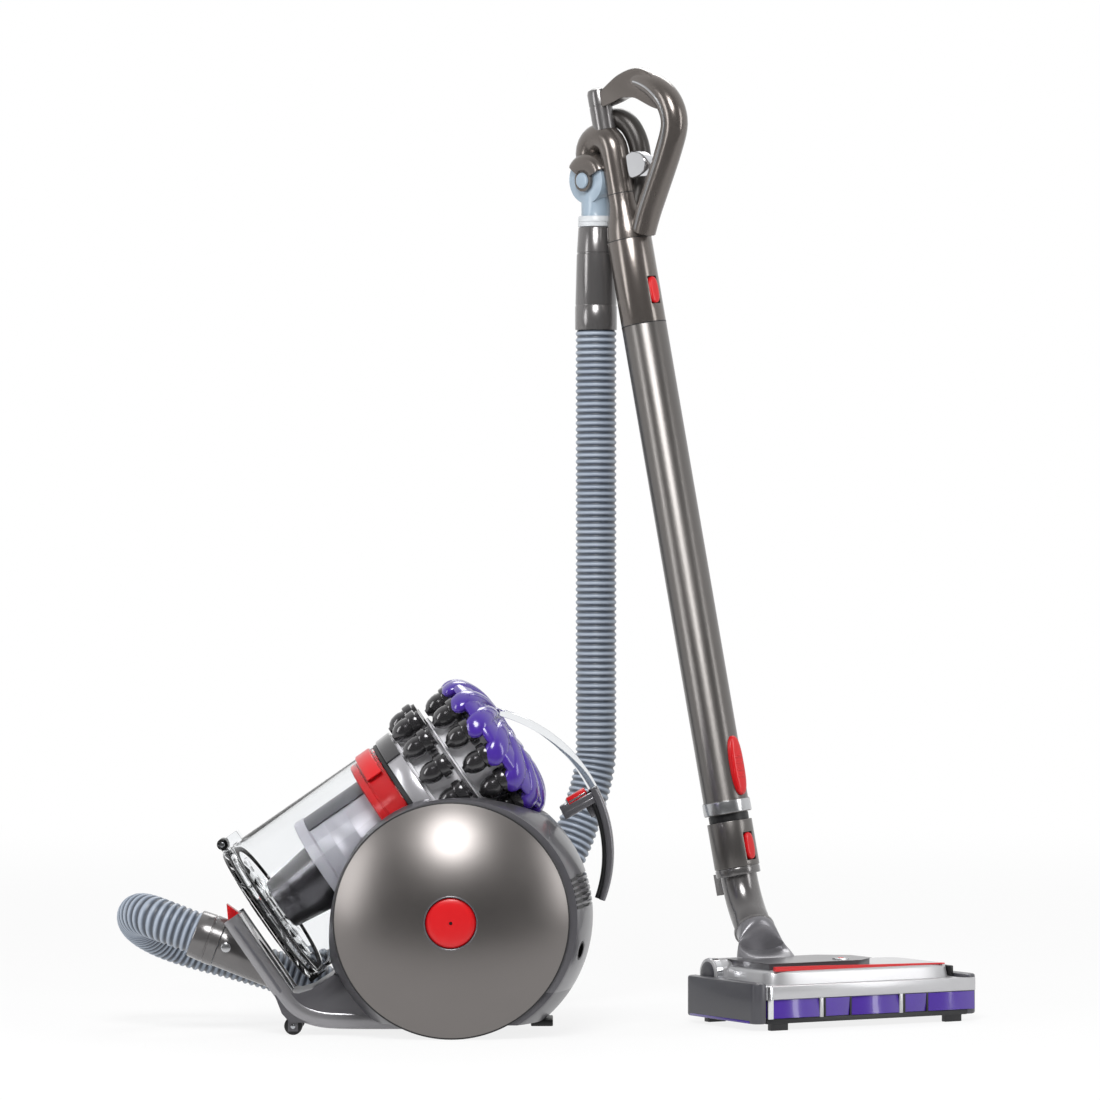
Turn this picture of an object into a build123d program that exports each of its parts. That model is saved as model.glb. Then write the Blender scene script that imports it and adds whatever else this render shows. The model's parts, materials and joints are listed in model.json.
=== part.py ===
from build123d import *
import math
import os

# Cylinder vacuum cleaner: ball body, bin with cyclones, hose, telescopic wand and floor head.
# Working frame: ball centre at X = Y = 0, floor at Z = 0, the machine faces -X.
# Everything is moved at the end, so that the origin is below the middle of the object.

# Ball body
BALL_Z = 117.0
WHEEL_RADIUS = 117.0
WHEEL_RIM_Y = 92.0
WHEEL_POLE_Y = 130.0
WHEEL_WALL = 3.0
RIM_DEPTH = 6.0
HUB_RADIUS = 20.0
AXLE_RADIUS = 8.0
RUNNING_GAP = 0.05
BEARING_RADIUS = 12.0
HUB_CAP_RADIUS = 25.0
CAP_STEP = 4.0
CAP_DIMPLE = 1.6
HOUSING_CROWN = 135.0
HOUSING_EDGE = 119.0
HOUSING_HALF = 90.0
HOUSING_SHIFT = 5.0
HOUSING_WALL = 3.0
BASE_Z = 14.0
TRAY_TOP_Z = 46.0
REAR_SPLIT_X = 96.0
SLOT_COUNT = 6
SLOT_PITCH = 5.8
SLOT_HEIGHT = 3.2
SLOT_LOW_Z = 129.0
SLOT_HALF = 70.0
SLOT_START_X = REAR_SPLIT_X + 14.0
OUTLET_Z = 86.0
OUTLET_RADIUS = 7.5
OUTLET_POINT = (122.0, -62.0, OUTLET_Z)
OUTLET_WAY = (0.78, -0.62, 0.0)
FOOT_FRONT = 78.0
FOOT_BACK = 100.0
FOOT_HALF = 30.0
FOOT_LOW = 8.0

# Bin: local Z runs up the bin axis from the base, local X is the upper side
BIN_TILT = 34.8
BIN_BASE = (-177.5, 0.0, 123.0)
BIN_RADIUS = 77.0
BIN_WALL = 2.5
BIN_TOP = 172.0
TROUGH_GAP = 2.0
SHROUD_RADIUS = 56.0
SHROUD_LOW = 62.0
COLLAR_LOW = 150.0
SEAL_TOP = 185.0
PACK_LOW = 193.5
PACK_SHIFT = 8.0
PACK_RADIUS = 85.0
CONE_COUNT = 14
CONE_RADIUS = 13.0
CROWN_LOW = 271.0
CROWN_TOP = 297.0
FLAP_THICKNESS = 13.0
FLAP_HINGE_X = 83.0
FLAP_HINGE_A = -6.0
FLAP_SWING_GAP = 1.6

# Front cradle, inlet and hose cuff
CRADLE_NEAR = -31.0
CRADLE_FAR = -46.0
CRADLE_HALF = 42.0
INLET_POINT = (-233.0, 0.0, 89.0)
INLET_RISE = 21.5
INLET_RADIUS = 25.0
CUFF_LENGTH = 27.0

# Hose
HOSE_RADIUS = 21.5
HOSE_ROOT = 19.6
HOSE_BORE = 17.5
RIB_PITCH = 6.7
RIBS_PER_SPAN = 10
RISER_X = 145.3
RISER_Y = 266.3
RISER_FOOT_Z = 300.0
RISER_TOP_Z = 712.0
HOSE_CUFF_TOP_Z = 820.0

# Wand: the local plane starts level with the hinge boss, local Z runs up the wand
WAND_ORIGIN = (168.0, 243.0, 875.0)
WAND_SLOPE = (-0.1705, 0.06, 1.0)
WAND_FRONT = (0.7071, -0.7071, 0.0)
BOSS_X = -33.0
WAND_RADIUS = 23.5
WAND_WALL = 2.0
INNER_RADIUS = 20.0
COLLAR_TOP = -71.0
COLLAR_FOOT = -161.0
OUTER_FOOT = -678.0
INNER_CUFF_TOP = -686.0
INNER_CUFF_FOOT = -734.0

# Floor head: local X runs along its width, local Y to its rear
HEAD_CENTRE = (385.0, 121.0, 0.0)
HEAD_TURN = 30.0
HEAD_WIDTH = 270.0
HEAD_DEPTH = 135.0
HEAD_LOW = 7.0
HEAD_TOP = 44.0
DECK_TOP = 58.0
PIVOT_X = -50.0
PIVOT_Y = 53.0
PIVOT_Z = 70.0

BASE = (Align.CENTER, Align.CENTER, Align.MIN)
Y_ROD = Rot(90, 0, 0)
nodes = {}


def rod(radius, low, high):
    return Pos(0, 0, low) * Cylinder(radius, high - low, align=BASE)


def pipe(radius, bore, low, high):
    return rod(radius, low, high) - rod(bore, low - 1, high + 1)


def block(x_low, x_high, y_low, y_high, z_low, z_high):
    size = Box(x_high - x_low, y_high - y_low, z_high - z_low)
    return Pos((x_low + x_high) / 2, (y_low + y_high) / 2, (z_low + z_high) / 2) * size


def lathe(outline):
    edge = Polyline(*[(radius, 0, height) for radius, height in outline], close=True)
    return revolve(make_face(edge), Axis.Z)


def side_plate(outline, half):
    # Plate outlined in X and Z, of the given half thickness in Y
    edge = Polyline(*[(x, 0, z) for x, z in outline], close=True)
    return extrude(make_face(edge), amount=half, dir=(0, 1, 0), both=True)


def group(shapes):
    return Compound([shape.solid() for shape in shapes])


def around(count, radius, shape, first=0.0):
    turns = [first + 360 * step / count for step in range(count)]
    return [Rot(0, 0, turn) * Pos(radius, 0, 0) * shape for turn in turns]


bin_cos = math.cos(math.radians(BIN_TILT))
bin_sin = math.sin(math.radians(BIN_TILT))
bin_plane = Plane(origin=BIN_BASE, x_dir=(-bin_sin, 0, bin_cos), z_dir=(bin_cos, 0, bin_sin))
inlet_cos = math.cos(math.radians(INLET_RISE))
inlet_sin = math.sin(math.radians(INLET_RISE))
inlet_plane = Plane(origin=INLET_POINT, x_dir=(0, 1, 0), z_dir=(-inlet_cos, 0, inlet_sin))
axle_plane = Plane(origin=(0, 0, BALL_Z), x_dir=(1, 0, 0), z_dir=(0, -1, 0))
wand_up = Vector(*WAND_SLOPE).normalized()
wand_front = Vector(*WAND_FRONT)
wand_front = (wand_front - wand_up * wand_front.dot(wand_up)).normalized()
wand_plane = Plane(origin=WAND_ORIGIN, x_dir=wand_front, z_dir=wand_up)
head_plane = Plane(origin=HEAD_CENTRE, z_dir=(0, 0, 1)).rotated((0, 0, HEAD_TURN))
pack_plane = bin_plane * Pos(PACK_SHIFT, 0, 0)


# Ball housing: a crowned band between the wheels, with a trough for the bin and its cyclones
def band(inset, floor_z):
    crown = HOUSING_CROWN - inset
    edge = HOUSING_EDGE - inset
    half = HOUSING_HALF - inset
    arc = ThreePointArc((edge, -half), (crown, 0), (edge, half))
    face = make_face([arc, Polyline((edge, half), (0, half), (0, -half), (edge, -half))])
    ball = Pos(HOUSING_SHIFT, 0, BALL_Z) * revolve(face, Axis.Y)
    return ball - block(-200, 200, -100, 100, -100, floor_z)


def trough(wall):
    bin_part = bin_plane * rod(BIN_RADIUS + TROUGH_GAP + wall, -60, PACK_LOW - wall)
    pack_part = pack_plane * rod(PACK_RADIUS + TROUGH_GAP + wall, PACK_LOW - wall - 1, 340)
    return bin_part + pack_part


outer_band = band(0, BASE_Z) - trough(0)
inner_band = band(HOUSING_WALL, BASE_Z + HOUSING_WALL) - trough(HOUSING_WALL)
shell = outer_band - inner_band
tray_zone = block(-200, 200, -100, 100, 0, TRAY_TOP_Z)
rear_zone = block(REAR_SPLIT_X, 200, -100, 100, TRAY_TOP_Z, 300)
slots = []
for step in range(SLOT_COUNT):
    slot_z = SLOT_LOW_Z + step * SLOT_PITCH
    slots.append(block(SLOT_START_X, 160, -SLOT_HALF, SLOT_HALF, slot_z, slot_z + SLOT_HEIGHT))
outlet_plane = Plane(origin=OUTLET_POINT, x_dir=(0, 0, 1), z_dir=OUTLET_WAY)

NOSE = (
    (-176, 40), (-169, 22), (-161, 13), (-80, 13), (-100, 58), (-118, 60), (-130, 52), (-140, 45.5),
    (-152, 42), (-164, 42.5),
)
NOSE_HALF = 46.0
nose = side_plate(NOSE, NOSE_HALF)
nose_fill = nose - band(HOUSING_WALL / 2, BASE_Z - 3) - (band(0, BASE_Z) - tray_zone)
nodes["base_tray"] = (shell & tray_zone) + nose_fill
nodes["ball_housing"] = shell - tray_zone - rear_zone
outlet_hole = outlet_plane * rod(OUTLET_RADIUS + 2, -30, 30)
nodes["rear_cover"] = (shell & rear_zone) - slots - outlet_hole
bush = outlet_plane * pipe(OUTLET_RADIUS + 1.9, OUTLET_RADIUS, -12, 12)
nodes["cord_outlet_bush"] = bush & band(0, BASE_Z)
nodes["rear_foot"] = block(FOOT_FRONT, FOOT_BACK, -FOOT_HALF, FOOT_HALF, FOOT_LOW, BASE_Z)

# Stub axles, bearings and ball wheels
wheel_squares = WHEEL_RADIUS**2 + WHEEL_RIM_Y**2 - WHEEL_POLE_Y**2
WHEEL_ARC_Y = wheel_squares / (2 * (WHEEL_RIM_Y - WHEEL_POLE_Y))
WHEEL_ARC = WHEEL_POLE_Y - WHEEL_ARC_Y
HUB_FACE = WHEEL_POLE_Y - 6.0


def dome(radius, low):
    ball = Pos(0, 0, WHEEL_ARC_Y) * Sphere(radius)
    return ball & rod(WHEEL_RADIUS, low, WHEEL_POLE_Y + 1)


def ball_wheel(plane):
    skin = dome(WHEEL_ARC, WHEEL_RIM_Y) - dome(WHEEL_ARC - WHEEL_WALL, WHEEL_RIM_Y - 1)
    rim = pipe(WHEEL_RADIUS, WHEEL_RADIUS - 5, WHEEL_RIM_Y, WHEEL_RIM_Y + RIM_DEPTH)
    rim &= dome(WHEEL_ARC, WHEEL_RIM_Y)
    hub = rod(HUB_RADIUS, WHEEL_RIM_Y + RIM_DEPTH, HUB_FACE)
    hub += rod(HUB_CAP_RADIUS + 8, HUB_FACE - 4, HUB_FACE + 2)
    seat = rod(HUB_CAP_RADIUS + 0.3, HUB_FACE, WHEEL_POLE_Y + 1)
    bore = rod(BEARING_RADIUS + RUNNING_GAP, WHEEL_RIM_Y, WHEEL_POLE_Y)
    return plane * (skin + rim + hub - seat - bore)


def stub_axle(plane):
    stub = rod(AXLE_RADIUS, HOUSING_HALF, HUB_FACE - 4)
    flange = rod(AXLE_RADIUS + 7, HOUSING_HALF, HOUSING_HALF + 3)
    return plane * (stub + flange)


def wheel_bearing(plane):
    return plane * pipe(BEARING_RADIUS, AXLE_RADIUS, WHEEL_RIM_Y + 8, HUB_FACE - 6)


def hub_cap(plane):
    cap = rod(HUB_CAP_RADIUS, HUB_FACE, HUB_FACE + CAP_STEP)
    cap += rod(HUB_CAP_RADIUS - 3, HUB_FACE, HUB_FACE + CAP_STEP + 1.5)
    return plane * (cap - rod(CAP_DIMPLE, HUB_FACE + 2, HUB_FACE + 9))


far_plane = Plane(origin=(0, 0, BALL_Z), x_dir=(1, 0, 0), z_dir=(0, 1, 0))
nodes["wheel_axles"] = group([stub_axle(axle_plane), stub_axle(far_plane)])
nodes["wheel_bearings"] = group([wheel_bearing(axle_plane), wheel_bearing(far_plane)])
for side, plane in (("near", axle_plane), ("far", far_plane)):
    nodes["ball_wheel_" + side] = ball_wheel(plane)
    nodes["hub_cap_" + side] = hub_cap(plane)

# Front wheels, fixed on one axle that turns in lugs under the nose
FRONT_WHEEL_X = -158.0
FRONT_WHEEL_Y = 32.0
FRONT_WHEEL_RADIUS = 9.0
FRONT_AXLE_RADIUS = 2.5
FRONT_WHEEL_HALF = 6.0
FRONT_AXLE_HALF = 44.0
AXLE_LUG_Y = 42.0
front_axle = Pos(FRONT_WHEEL_X, 0, FRONT_WHEEL_RADIUS) * Y_ROD
front_wheel = pipe(FRONT_WHEEL_RADIUS, FRONT_AXLE_RADIUS, -FRONT_WHEEL_HALF, FRONT_WHEEL_HALF)
well_half = FRONT_WHEEL_HALF + 1.5
front_well = block(FRONT_WHEEL_X - 12, FRONT_WHEEL_X + 12, -well_half, well_half, 0, 22)
front_wheels = []
for y in (-FRONT_WHEEL_Y, FRONT_WHEEL_Y):
    front_wheels.append(front_axle * Pos(0, 0, -y) * front_wheel)
    nodes["base_tray"] -= Pos(0, y, 0) * front_well
nodes["front_wheels"] = group(front_wheels)
nodes["front_axle"] = front_axle * rod(FRONT_AXLE_RADIUS, -FRONT_AXLE_HALF, FRONT_AXLE_HALF)
axle_hole = front_axle * rod(FRONT_AXLE_RADIUS + RUNNING_GAP, -50, 50)
for y in (-AXLE_LUG_Y, 0, AXLE_LUG_Y):
    nodes["base_tray"] += block(FRONT_WHEEL_X - 5, FRONT_WHEEL_X + 5, y - 2, y + 2, 4, BASE_Z) - axle_hole
nodes["base_tray"] -= axle_hole

# Motor, fan, exhaust filter and cord reel inside the ball
MOTOR_X = 22.0
MOTOR_Z = 78.0
MOTOR_RADIUS = 42.0
MOTOR_NEAR = 2.0
MOTOR_FAR = 62.0
MOUNT_WALL = 4.0
SHAFT_RADIUS = 4.0
FAN_RADIUS = 34.0
FAN_PLATE = 66.0
BLADE_COUNT = 9
BLADE_RING = 20.0
motor_axis = Pos(MOTOR_X, 0, MOTOR_Z) * Y_ROD
motor_body = rod(MOTOR_RADIUS, MOTOR_NEAR, MOTOR_FAR)
nodes["motor"] = motor_axis * (motor_body - rod(SHAFT_RADIUS + RUNNING_GAP, 20, 70))
mount_ring = motor_axis * pipe(MOTOR_RADIUS + MOUNT_WALL, MOTOR_RADIUS, 20, 44)
mount_foot = block(MOTOR_X - 30, MOTOR_X + 30, -44, -20, BASE_Z + HOUSING_WALL, MOTOR_Z - 20)
nodes["motor_mount"] = mount_ring + (mount_foot - motor_axis * rod(MOTOR_RADIUS, 0, 70))
fan = rod(SHAFT_RADIUS, 24, FAN_PLATE + 14) + rod(FAN_RADIUS, FAN_PLATE, FAN_PLATE + 3)
for blade in around(BLADE_COUNT, BLADE_RING, block(-13, 13, -1, 1, FAN_PLATE + 3, FAN_PLATE + 13)):
    fan += blade
nodes["impeller"] = motor_axis * fan
REEL_X = 10.0
REEL_RADIUS = 56.0
REEL_CORE = 24.0
REEL_SHAFT = 6.0
REEL_NEAR = -24.0
REEL_FAR = -76.0
REEL_FLANGE = 3.0
reel_axis = Pos(REEL_X, 0, MOTOR_Z) * Y_ROD
reel_bore = REEL_SHAFT + RUNNING_GAP
spool = pipe(REEL_CORE, reel_bore, REEL_FAR, REEL_NEAR)
spool += pipe(REEL_RADIUS, reel_bore, REEL_FAR, REEL_FAR + REEL_FLANGE)
spool += pipe(REEL_RADIUS, reel_bore, REEL_NEAR - REEL_FLANGE, REEL_NEAR)
nodes["cord_reel"] = reel_axis * spool
reel_wall = -HOUSING_HALF + 1
nodes["ball_housing"] += reel_axis * (rod(REEL_SHAFT, reel_wall, -20) + rod(14, reel_wall, REEL_FAR - 2))
FILTER_FRONT = 84.0
FILTER_BACK = 108.0
FILTER_HALF = 50.0
FILTER_LOW = 122.0
FILTER_TOP = 162.0
filter_block = block(FILTER_FRONT, FILTER_BACK, -FILTER_HALF, FILTER_HALF, FILTER_LOW, FILTER_TOP)
nodes["exhaust_filter"] = filter_block - trough(HOUSING_WALL)

# Clear bin with its flap, hinge and seals
bin_wall = pipe(BIN_RADIUS, BIN_RADIUS - BIN_WALL, 0, BIN_TOP)
ear = block(BIN_RADIUS - 2, FLAP_HINGE_X + 4, 14, 20, FLAP_HINGE_A - 4, 14)
ear -= rod(BIN_RADIUS - 1, -20, 20) + rod(BIN_RADIUS + FLAP_SWING_GAP, -20, 0)
PIN_RADIUS = 2.5
pin_axis = Pos(FLAP_HINGE_X, 0, FLAP_HINGE_A) * Y_ROD
flap_pin = pin_axis * rod(PIN_RADIUS, -20, 20)
ears = ear + mirror(ear, Plane.XZ)
nodes["clear_bin"] = bin_plane * (bin_wall + ears - flap_pin)
nodes["flap_hinge_pin"] = bin_plane * flap_pin
flap = rod(BIN_RADIUS, -FLAP_THICKNESS, -0.4) - rod(BIN_RADIUS - 8, -8, -5)
flap_barrel = pin_axis * pipe(PIN_RADIUS + 3, PIN_RADIUS + RUNNING_GAP, -13.5, 13.5)
flap_arm = block(BIN_RADIUS - 4, FLAP_HINGE_X, -13, 13, FLAP_HINGE_A - 3, FLAP_HINGE_A + 3)
flap_arm -= pin_axis * rod(PIN_RADIUS + 1, -30, 30)
nodes["bin_flap"] = bin_plane * (flap + flap_barrel + flap_arm)
nodes["flap_seal"] = bin_plane * pipe(BIN_RADIUS - BIN_WALL - 0.8, 68, -0.4, 2.6)

# Shroud and dust tube inside the bin, collar and seal above it
SHROUD_BORE = SHROUD_RADIUS - 3.0
SHROUD_LIP = SHROUD_RADIUS - 4.0
shroud = lathe([(SHROUD_LIP, SHROUD_LOW), (SHROUD_RADIUS, SHROUD_LOW), (SHROUD_RADIUS, COLLAR_LOW),
                (SHROUD_BORE, COLLAR_LOW), (SHROUD_BORE, SHROUD_LOW + 4), (SHROUD_LIP, SHROUD_LOW + 4)])
nodes["shroud"] = bin_plane * shroud
TUBE_OUTLINE = ((23, 4), (26, 4), (36, 72), (36, COLLAR_LOW), (33, COLLAR_LOW), (33, 72))
nodes["dust_tube"] = bin_plane * lathe(TUBE_OUTLINE)
COLLAR_RADIUS = BIN_RADIUS - BIN_WALL - 0.5
COLLAR_BORE = SHROUD_RADIUS - 6.0
collar = pipe(COLLAR_RADIUS, COLLAR_BORE, COLLAR_LOW, BIN_TOP)
collar += pipe(COLLAR_BORE, 30, COLLAR_LOW, COLLAR_LOW + 6)
nodes["bin_collar"] = bin_plane * collar
nodes["bin_seal"] = bin_plane * pipe(BIN_RADIUS, 46, BIN_TOP, SEAL_TOP)
pack_ring = lathe([(44, SEAL_TOP), (BIN_RADIUS, SEAL_TOP), (BIN_RADIUS + 1, PACK_LOW), (44, PACK_LOW)])

# Cyclone pack: a pale core, two rings of cones and the ribbed crown
core = lathe([(40, PACK_LOW), (60, PACK_LOW), (54, 235), (54, 262), (60, CROWN_LOW), (40, CROWN_LOW)])
nodes["cyclone_body"] = pack_plane * core + bin_plane * pack_ring
cone = lathe([(0, 0), (6, 0), (9, 3), (CONE_RADIUS, 22), (CONE_RADIUS, 32), (8, 35), (0, 35)])


def cone_ring(low, pitch_radius, first):
    cones = around(CONE_COUNT, pitch_radius, Pos(0, 0, low) * cone, first)
    cutter = lathe([(0, 190), (62, 190), (56, 235), (56, 262), (62, CROWN_LOW), (62, 280), (0, 280)])
    return [pack_plane * (one - cutter) for one in cones]


half_step = 180 / CONE_COUNT
lower_cones = cone_ring(195, PACK_RADIUS - CONE_RADIUS, 0)
upper_cones = cone_ring(235.5, PACK_RADIUS - CONE_RADIUS - 4, half_step)
nodes["cyclone_cones"] = group(lower_cones + upper_cones)
CROWN_RIBS = 14


def crown_dome(extra):
    rim = PACK_RADIUS - 4 + extra
    low = CROWN_LOW + extra
    outline = [(0, CROWN_LOW), (rim, CROWN_LOW), (rim, low + 8), (rim - 14, low + 17), (40, low + 22)]
    return lathe(outline + [(0, low + 23)])


crown_recess = rod(60.5, CROWN_LOW - 1, CROWN_LOW + 9)
crown_ribs = around(CROWN_RIBS, 70, block(-18, 25, -7, 7, CROWN_LOW + 1, CROWN_TOP + 9))
crown = crown_dome(0)
for rib in crown_ribs:
    crown += rib & crown_dome(4)
crown -= crown_recess
nodes["crown"] = pack_plane * crown
nodes["pre_filter"] = pack_plane * pipe(30, 10, 200, CROWN_LOW + 9)

# Carry handle: strap from the crown over to the rear of the ball, with a spoke that holds two buttons
STRAP = ((44, 320), (107, 287), (141, 241))
LIMB = ((141, 241), (156, 190), (149, 132))
STRAP_THICKNESS = 11.0
STRAP_HALF = 12.0


def strap(points, half):
    curve = ThreePointArc(*[(x, 0, z) for x, z in points])
    start = Plane(origin=curve @ 0, x_dir=(0, 1, 0), z_dir=curve % 0)
    return sweep(start * Rectangle(2 * half, STRAP_THICKNESS), path=curve)


SPOKE = ((106, 224), (112, 213), (146, 233), (140, 244))
SPOKE_HALF = 10.0
STRAP_FOOT = ((44, 326), (30, 325), (36, 308), (46, 314))
KEY_LENGTH = 21.0
KEY_WIDTH = 6.6
KEY_OFFSET = 3.8
KEY_LOW = -1.0
KEY_TOP = 8.5
spoke_plane = Plane(origin=(126, 0, 231.5), x_dir=(0.862, 0, 0.507), z_dir=(-0.507, 0, 0.862))
handle = strap(STRAP, STRAP_HALF) + strap(LIMB, STRAP_HALF)
handle += side_plate(SPOKE, SPOKE_HALF)
handle += side_plate(STRAP_FOOT, STRAP_HALF)
handle -= pack_plane * (rod(PACK_RADIUS + 0.5, 150, CROWN_LOW + 9) + crown)
pocket_x = KEY_LENGTH / 2 + 0.5
pocket_y = KEY_OFFSET + KEY_WIDTH / 2 + 0.5
key_pocket = block(-pocket_x, pocket_x, -pocket_y, pocket_y, KEY_LOW - 3, KEY_TOP + 3.5)
nodes["carry_handle"] = handle - spoke_plane * key_pocket
key = block(-KEY_LENGTH / 2, KEY_LENGTH / 2, -KEY_WIDTH / 2, KEY_WIDTH / 2, KEY_LOW, KEY_TOP)
nodes["bin_release_button"] = spoke_plane * Pos(0, KEY_OFFSET, 0) * key
nodes["power_button"] = spoke_plane * Pos(0, -KEY_OFFSET, 0) * key

# Front cradle below the bin base, inlet elbow, release catch and the swivelling hose cuff
cradle_block = bin_plane * block(-94, 16, -CRADLE_HALF, CRADLE_HALF, CRADLE_FAR, CRADLE_NEAR)
airway = inlet_plane * rod(HOSE_BORE, -120, 10)
hose_socket = inlet_plane * rod(HOSE_RADIUS + 0.5, -12, 20)
nodes["front_cradle"] = cradle_block - nose - airway - hose_socket - block(-300, 0, -100, 100, 0, 13)
elbow_boss = Pos(0, -INLET_RADIUS + 1, -8) * Rot(90, 0, 0) * Cylinder(5, 8)
elbow = inlet_plane * (rod(INLET_RADIUS - 1, -70, 0) + elbow_boss)
elbow -= bin_plane * block(-200, 200, -100, 100, CRADLE_FAR, 200)
elbow -= airway
nodes["inlet_elbow"] = elbow - hose_socket
CATCH = ((-226, 128), (-213, 118.6), (-224.4, 110.7))
CATCH_HALF = 8.0
catch = side_plate(CATCH, CATCH_HALF)
catch -= bin_plane * block(-94, 16.5, -60, 60, -60, -20)
nodes["hose_release_catch"] = catch - inlet_plane * rod(INLET_RADIUS + 0.6, 0, CUFF_LENGTH + 5)
cuff_body = lathe([(HOSE_RADIUS + 0.5, 0.4), (INLET_RADIUS, 0.4), (INLET_RADIUS - 1, CUFF_LENGTH),
                   (HOSE_RADIUS + 0.5, CUFF_LENGTH)])
nodes["hose_cuff_front"] = inlet_plane * cuff_body

# Hose: from the front cuff round behind the machine, then straight up to the top cuff
HOSE_START = inlet_plane.from_local_coords((0, 0, -10))
HOSE_ROUTE = [
    (-285.6, 0, 109.7), (-319, 33.4, 118), (-319, 80.6, 101), (-285.6, 114, 80), (-205, 126, 58),
    (-125, 137, 30), (-45, 154, 22), (42, 205, 64), (108, 244, 142), (RISER_X, RISER_Y, 245),
]
HOSE_STEADY = Vector(0.4, -0.6, 0.7)


def corner_radii(points):
    # Each arc is as large as its two runs allow
    radii = []
    for before, corner, after in zip(points, points[1:], points[2:]):
        turn = math.radians((corner - before).get_angle(after - corner))
        run = min((corner - before).length, (after - corner).length)
        radii.append(0.45 * run / math.tan(turn / 2))
    return radii


def ribbed_hose(path):
    count = round((path.length - 6) / RIB_PITCH)
    pitch = (path.length - 6) / count
    stations = [(0.0, HOSE_ROOT)]
    for rib in range(count):
        start = 3 + rib * pitch
        for share, radius in ((0.05, HOSE_ROOT), (0.3, HOSE_RADIUS), (0.65, HOSE_RADIUS), (0.9, HOSE_ROOT)):
            stations.append((start + share * pitch, radius))
    stations.append((path.length, HOSE_ROOT))
    circles = []
    for distance, radius in stations:
        along = path % (distance / path.length)
        steady = HOSE_STEADY - along * HOSE_STEADY.dot(along)
        circles.append(Plane(path @ (distance / path.length), x_dir=steady, z_dir=along) * Circle(radius))
    step = 4 * RIBS_PER_SPAN
    spans = [loft(circles[first:first + step + 1], ruled=True) for first in range(0, len(circles) - 1, step)]
    bore = sweep(Plane(path @ 0, z_dir=path % 0) * Circle(HOSE_BORE), path=path)
    print("ribs", count, "length", round(path.length, 1))
    return spans[0] + spans[1:] - bore


riser_foot = Vector(RISER_X, RISER_Y, RISER_FOOT_Z)
route = [HOSE_START] + [Vector(*point) for point in HOSE_ROUTE] + [riser_foot]
hose_radii = corner_radii(route)
print("hose radii", [round(radius) for radius in hose_radii])
run_path = FilletPolyline(*route, radius=hose_radii)
riser_path = Line(riser_foot, (RISER_X, RISER_Y, RISER_TOP_Z))
run_points = [run_path @ (step / 200) for step in range(201)]
pairs = [(a - b).length for i, a in enumerate(run_points) for b in run_points[i + 40:]]
print("least gap of the hose to itself", round(min(pairs) - 2 * HOSE_RADIUS, 1))
nodes["hose_run"] = ribbed_hose(run_path)
nodes["hose_riser"] = ribbed_hose(riser_path)
for name, path in (("hose_run", run_path), ("hose_riser", riser_path)):
    mean_area = math.pi * (((HOSE_RADIUS + HOSE_ROOT) / 2) ** 2 - HOSE_BORE**2)
    print(name, "volume over section times length", round(nodes[name].volume / mean_area / path.length, 3))

# Top hose cuff and the knuckle that turns on it
riser_axis = Pos(RISER_X, RISER_Y, 0)
top_cuff = lathe([(HOSE_BORE, RISER_TOP_Z), (22, RISER_TOP_Z), (21.6, 736), (21, 738), (19.8, 790),
                  (18, HOSE_CUFF_TOP_Z), (14, HOSE_CUFF_TOP_Z), (16.5, 738)])
nodes["hose_cuff_top"] = riser_axis * top_cuff
KNUCKLE_RADIUS = 24.0
KNUCKLE_HALF = 15.5
boss = Pos(BOSS_X, 0, 0) * Y_ROD
barrel = wand_plane * boss * rod(KNUCKLE_RADIUS, -KNUCKLE_HALF, KNUCKLE_HALF)
boss_point = wand_plane.from_local_coords((BOSS_X, 0, 0))
neck = rod(15.4, HOSE_CUFF_TOP_Z + 10, boss_point.Z)
neck = riser_axis * (neck + rod(18, HOSE_CUFF_TOP_Z + 0.4, HOSE_CUFF_TOP_Z + 11))
bore = riser_axis * rod(11, HOSE_CUFF_TOP_Z, boss_point.Z - 8)
KNUCKLE_PIN = 5.0
CHEEK_NEAR = 17.0
CHEEK_FAR = 21.0
nodes["knuckle"] = barrel + neck - bore - wand_plane * boss * rod(KNUCKLE_PIN + RUNNING_GAP, -30, 30)
nodes["knuckle_pin"] = wand_plane * boss * rod(KNUCKLE_PIN, -CHEEK_FAR, CHEEK_FAR)

# Handle: crook over the knuckle, loop grip, trigger and collar
CROOK_RADIUS = 15.0
CROOK_BORE = 12.0
CROOK_RISE = 24.0
CROOK_BEND = 18.0
crook_path = Line((0, 0, -40), (0, 0, CROOK_RISE)) + ThreePointArc(
    (0, 0, CROOK_RISE), (-CROOK_BEND, 0, CROOK_RISE + CROOK_BEND), (-2 * CROOK_BEND, 0, CROOK_RISE))
crook_path += Line((-2 * CROOK_BEND, 0, CROOK_RISE), (-2 * CROOK_BEND, 0, 8))
tube = sweep(Pos(0, 0, -40) * Circle(CROOK_RADIUS), path=crook_path)
tube_bore = sweep(Pos(0, 0, -40) * Circle(CROOK_BORE), path=crook_path)
skirt = lathe([(0, COLLAR_TOP), (23, COLLAR_TOP), (22, COLLAR_TOP + 12), (CROOK_RADIUS, -30), (0, -30)])
skirt_bore = lathe([(0, COLLAR_TOP - 1), (18, COLLAR_TOP - 1), (CROOK_BORE, -36), (0, -36)])
post = Pos(-8, 0, 0) * rod(12, 50, 92)
cheek = boss * rod(11.5, CHEEK_NEAR, CHEEK_FAR)
cheek += block(BOSS_X - 9, BOSS_X + 9, -CHEEK_FAR, -CHEEK_NEAR, 0, 34)
cheek += block(BOSS_X - 9, BOSS_X + 18, -CHEEK_FAR, -8, 27, 34)
cheeks = cheek + mirror(cheek, Plane.XZ)
knuckle_room = boss * rod(KNUCKLE_RADIUS + 0.6, -KNUCKLE_HALF - 0.4, KNUCKLE_HALF + 0.4)
crook = tube + skirt + post + cheeks - tube_bore - skirt_bore - knuckle_room
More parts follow.
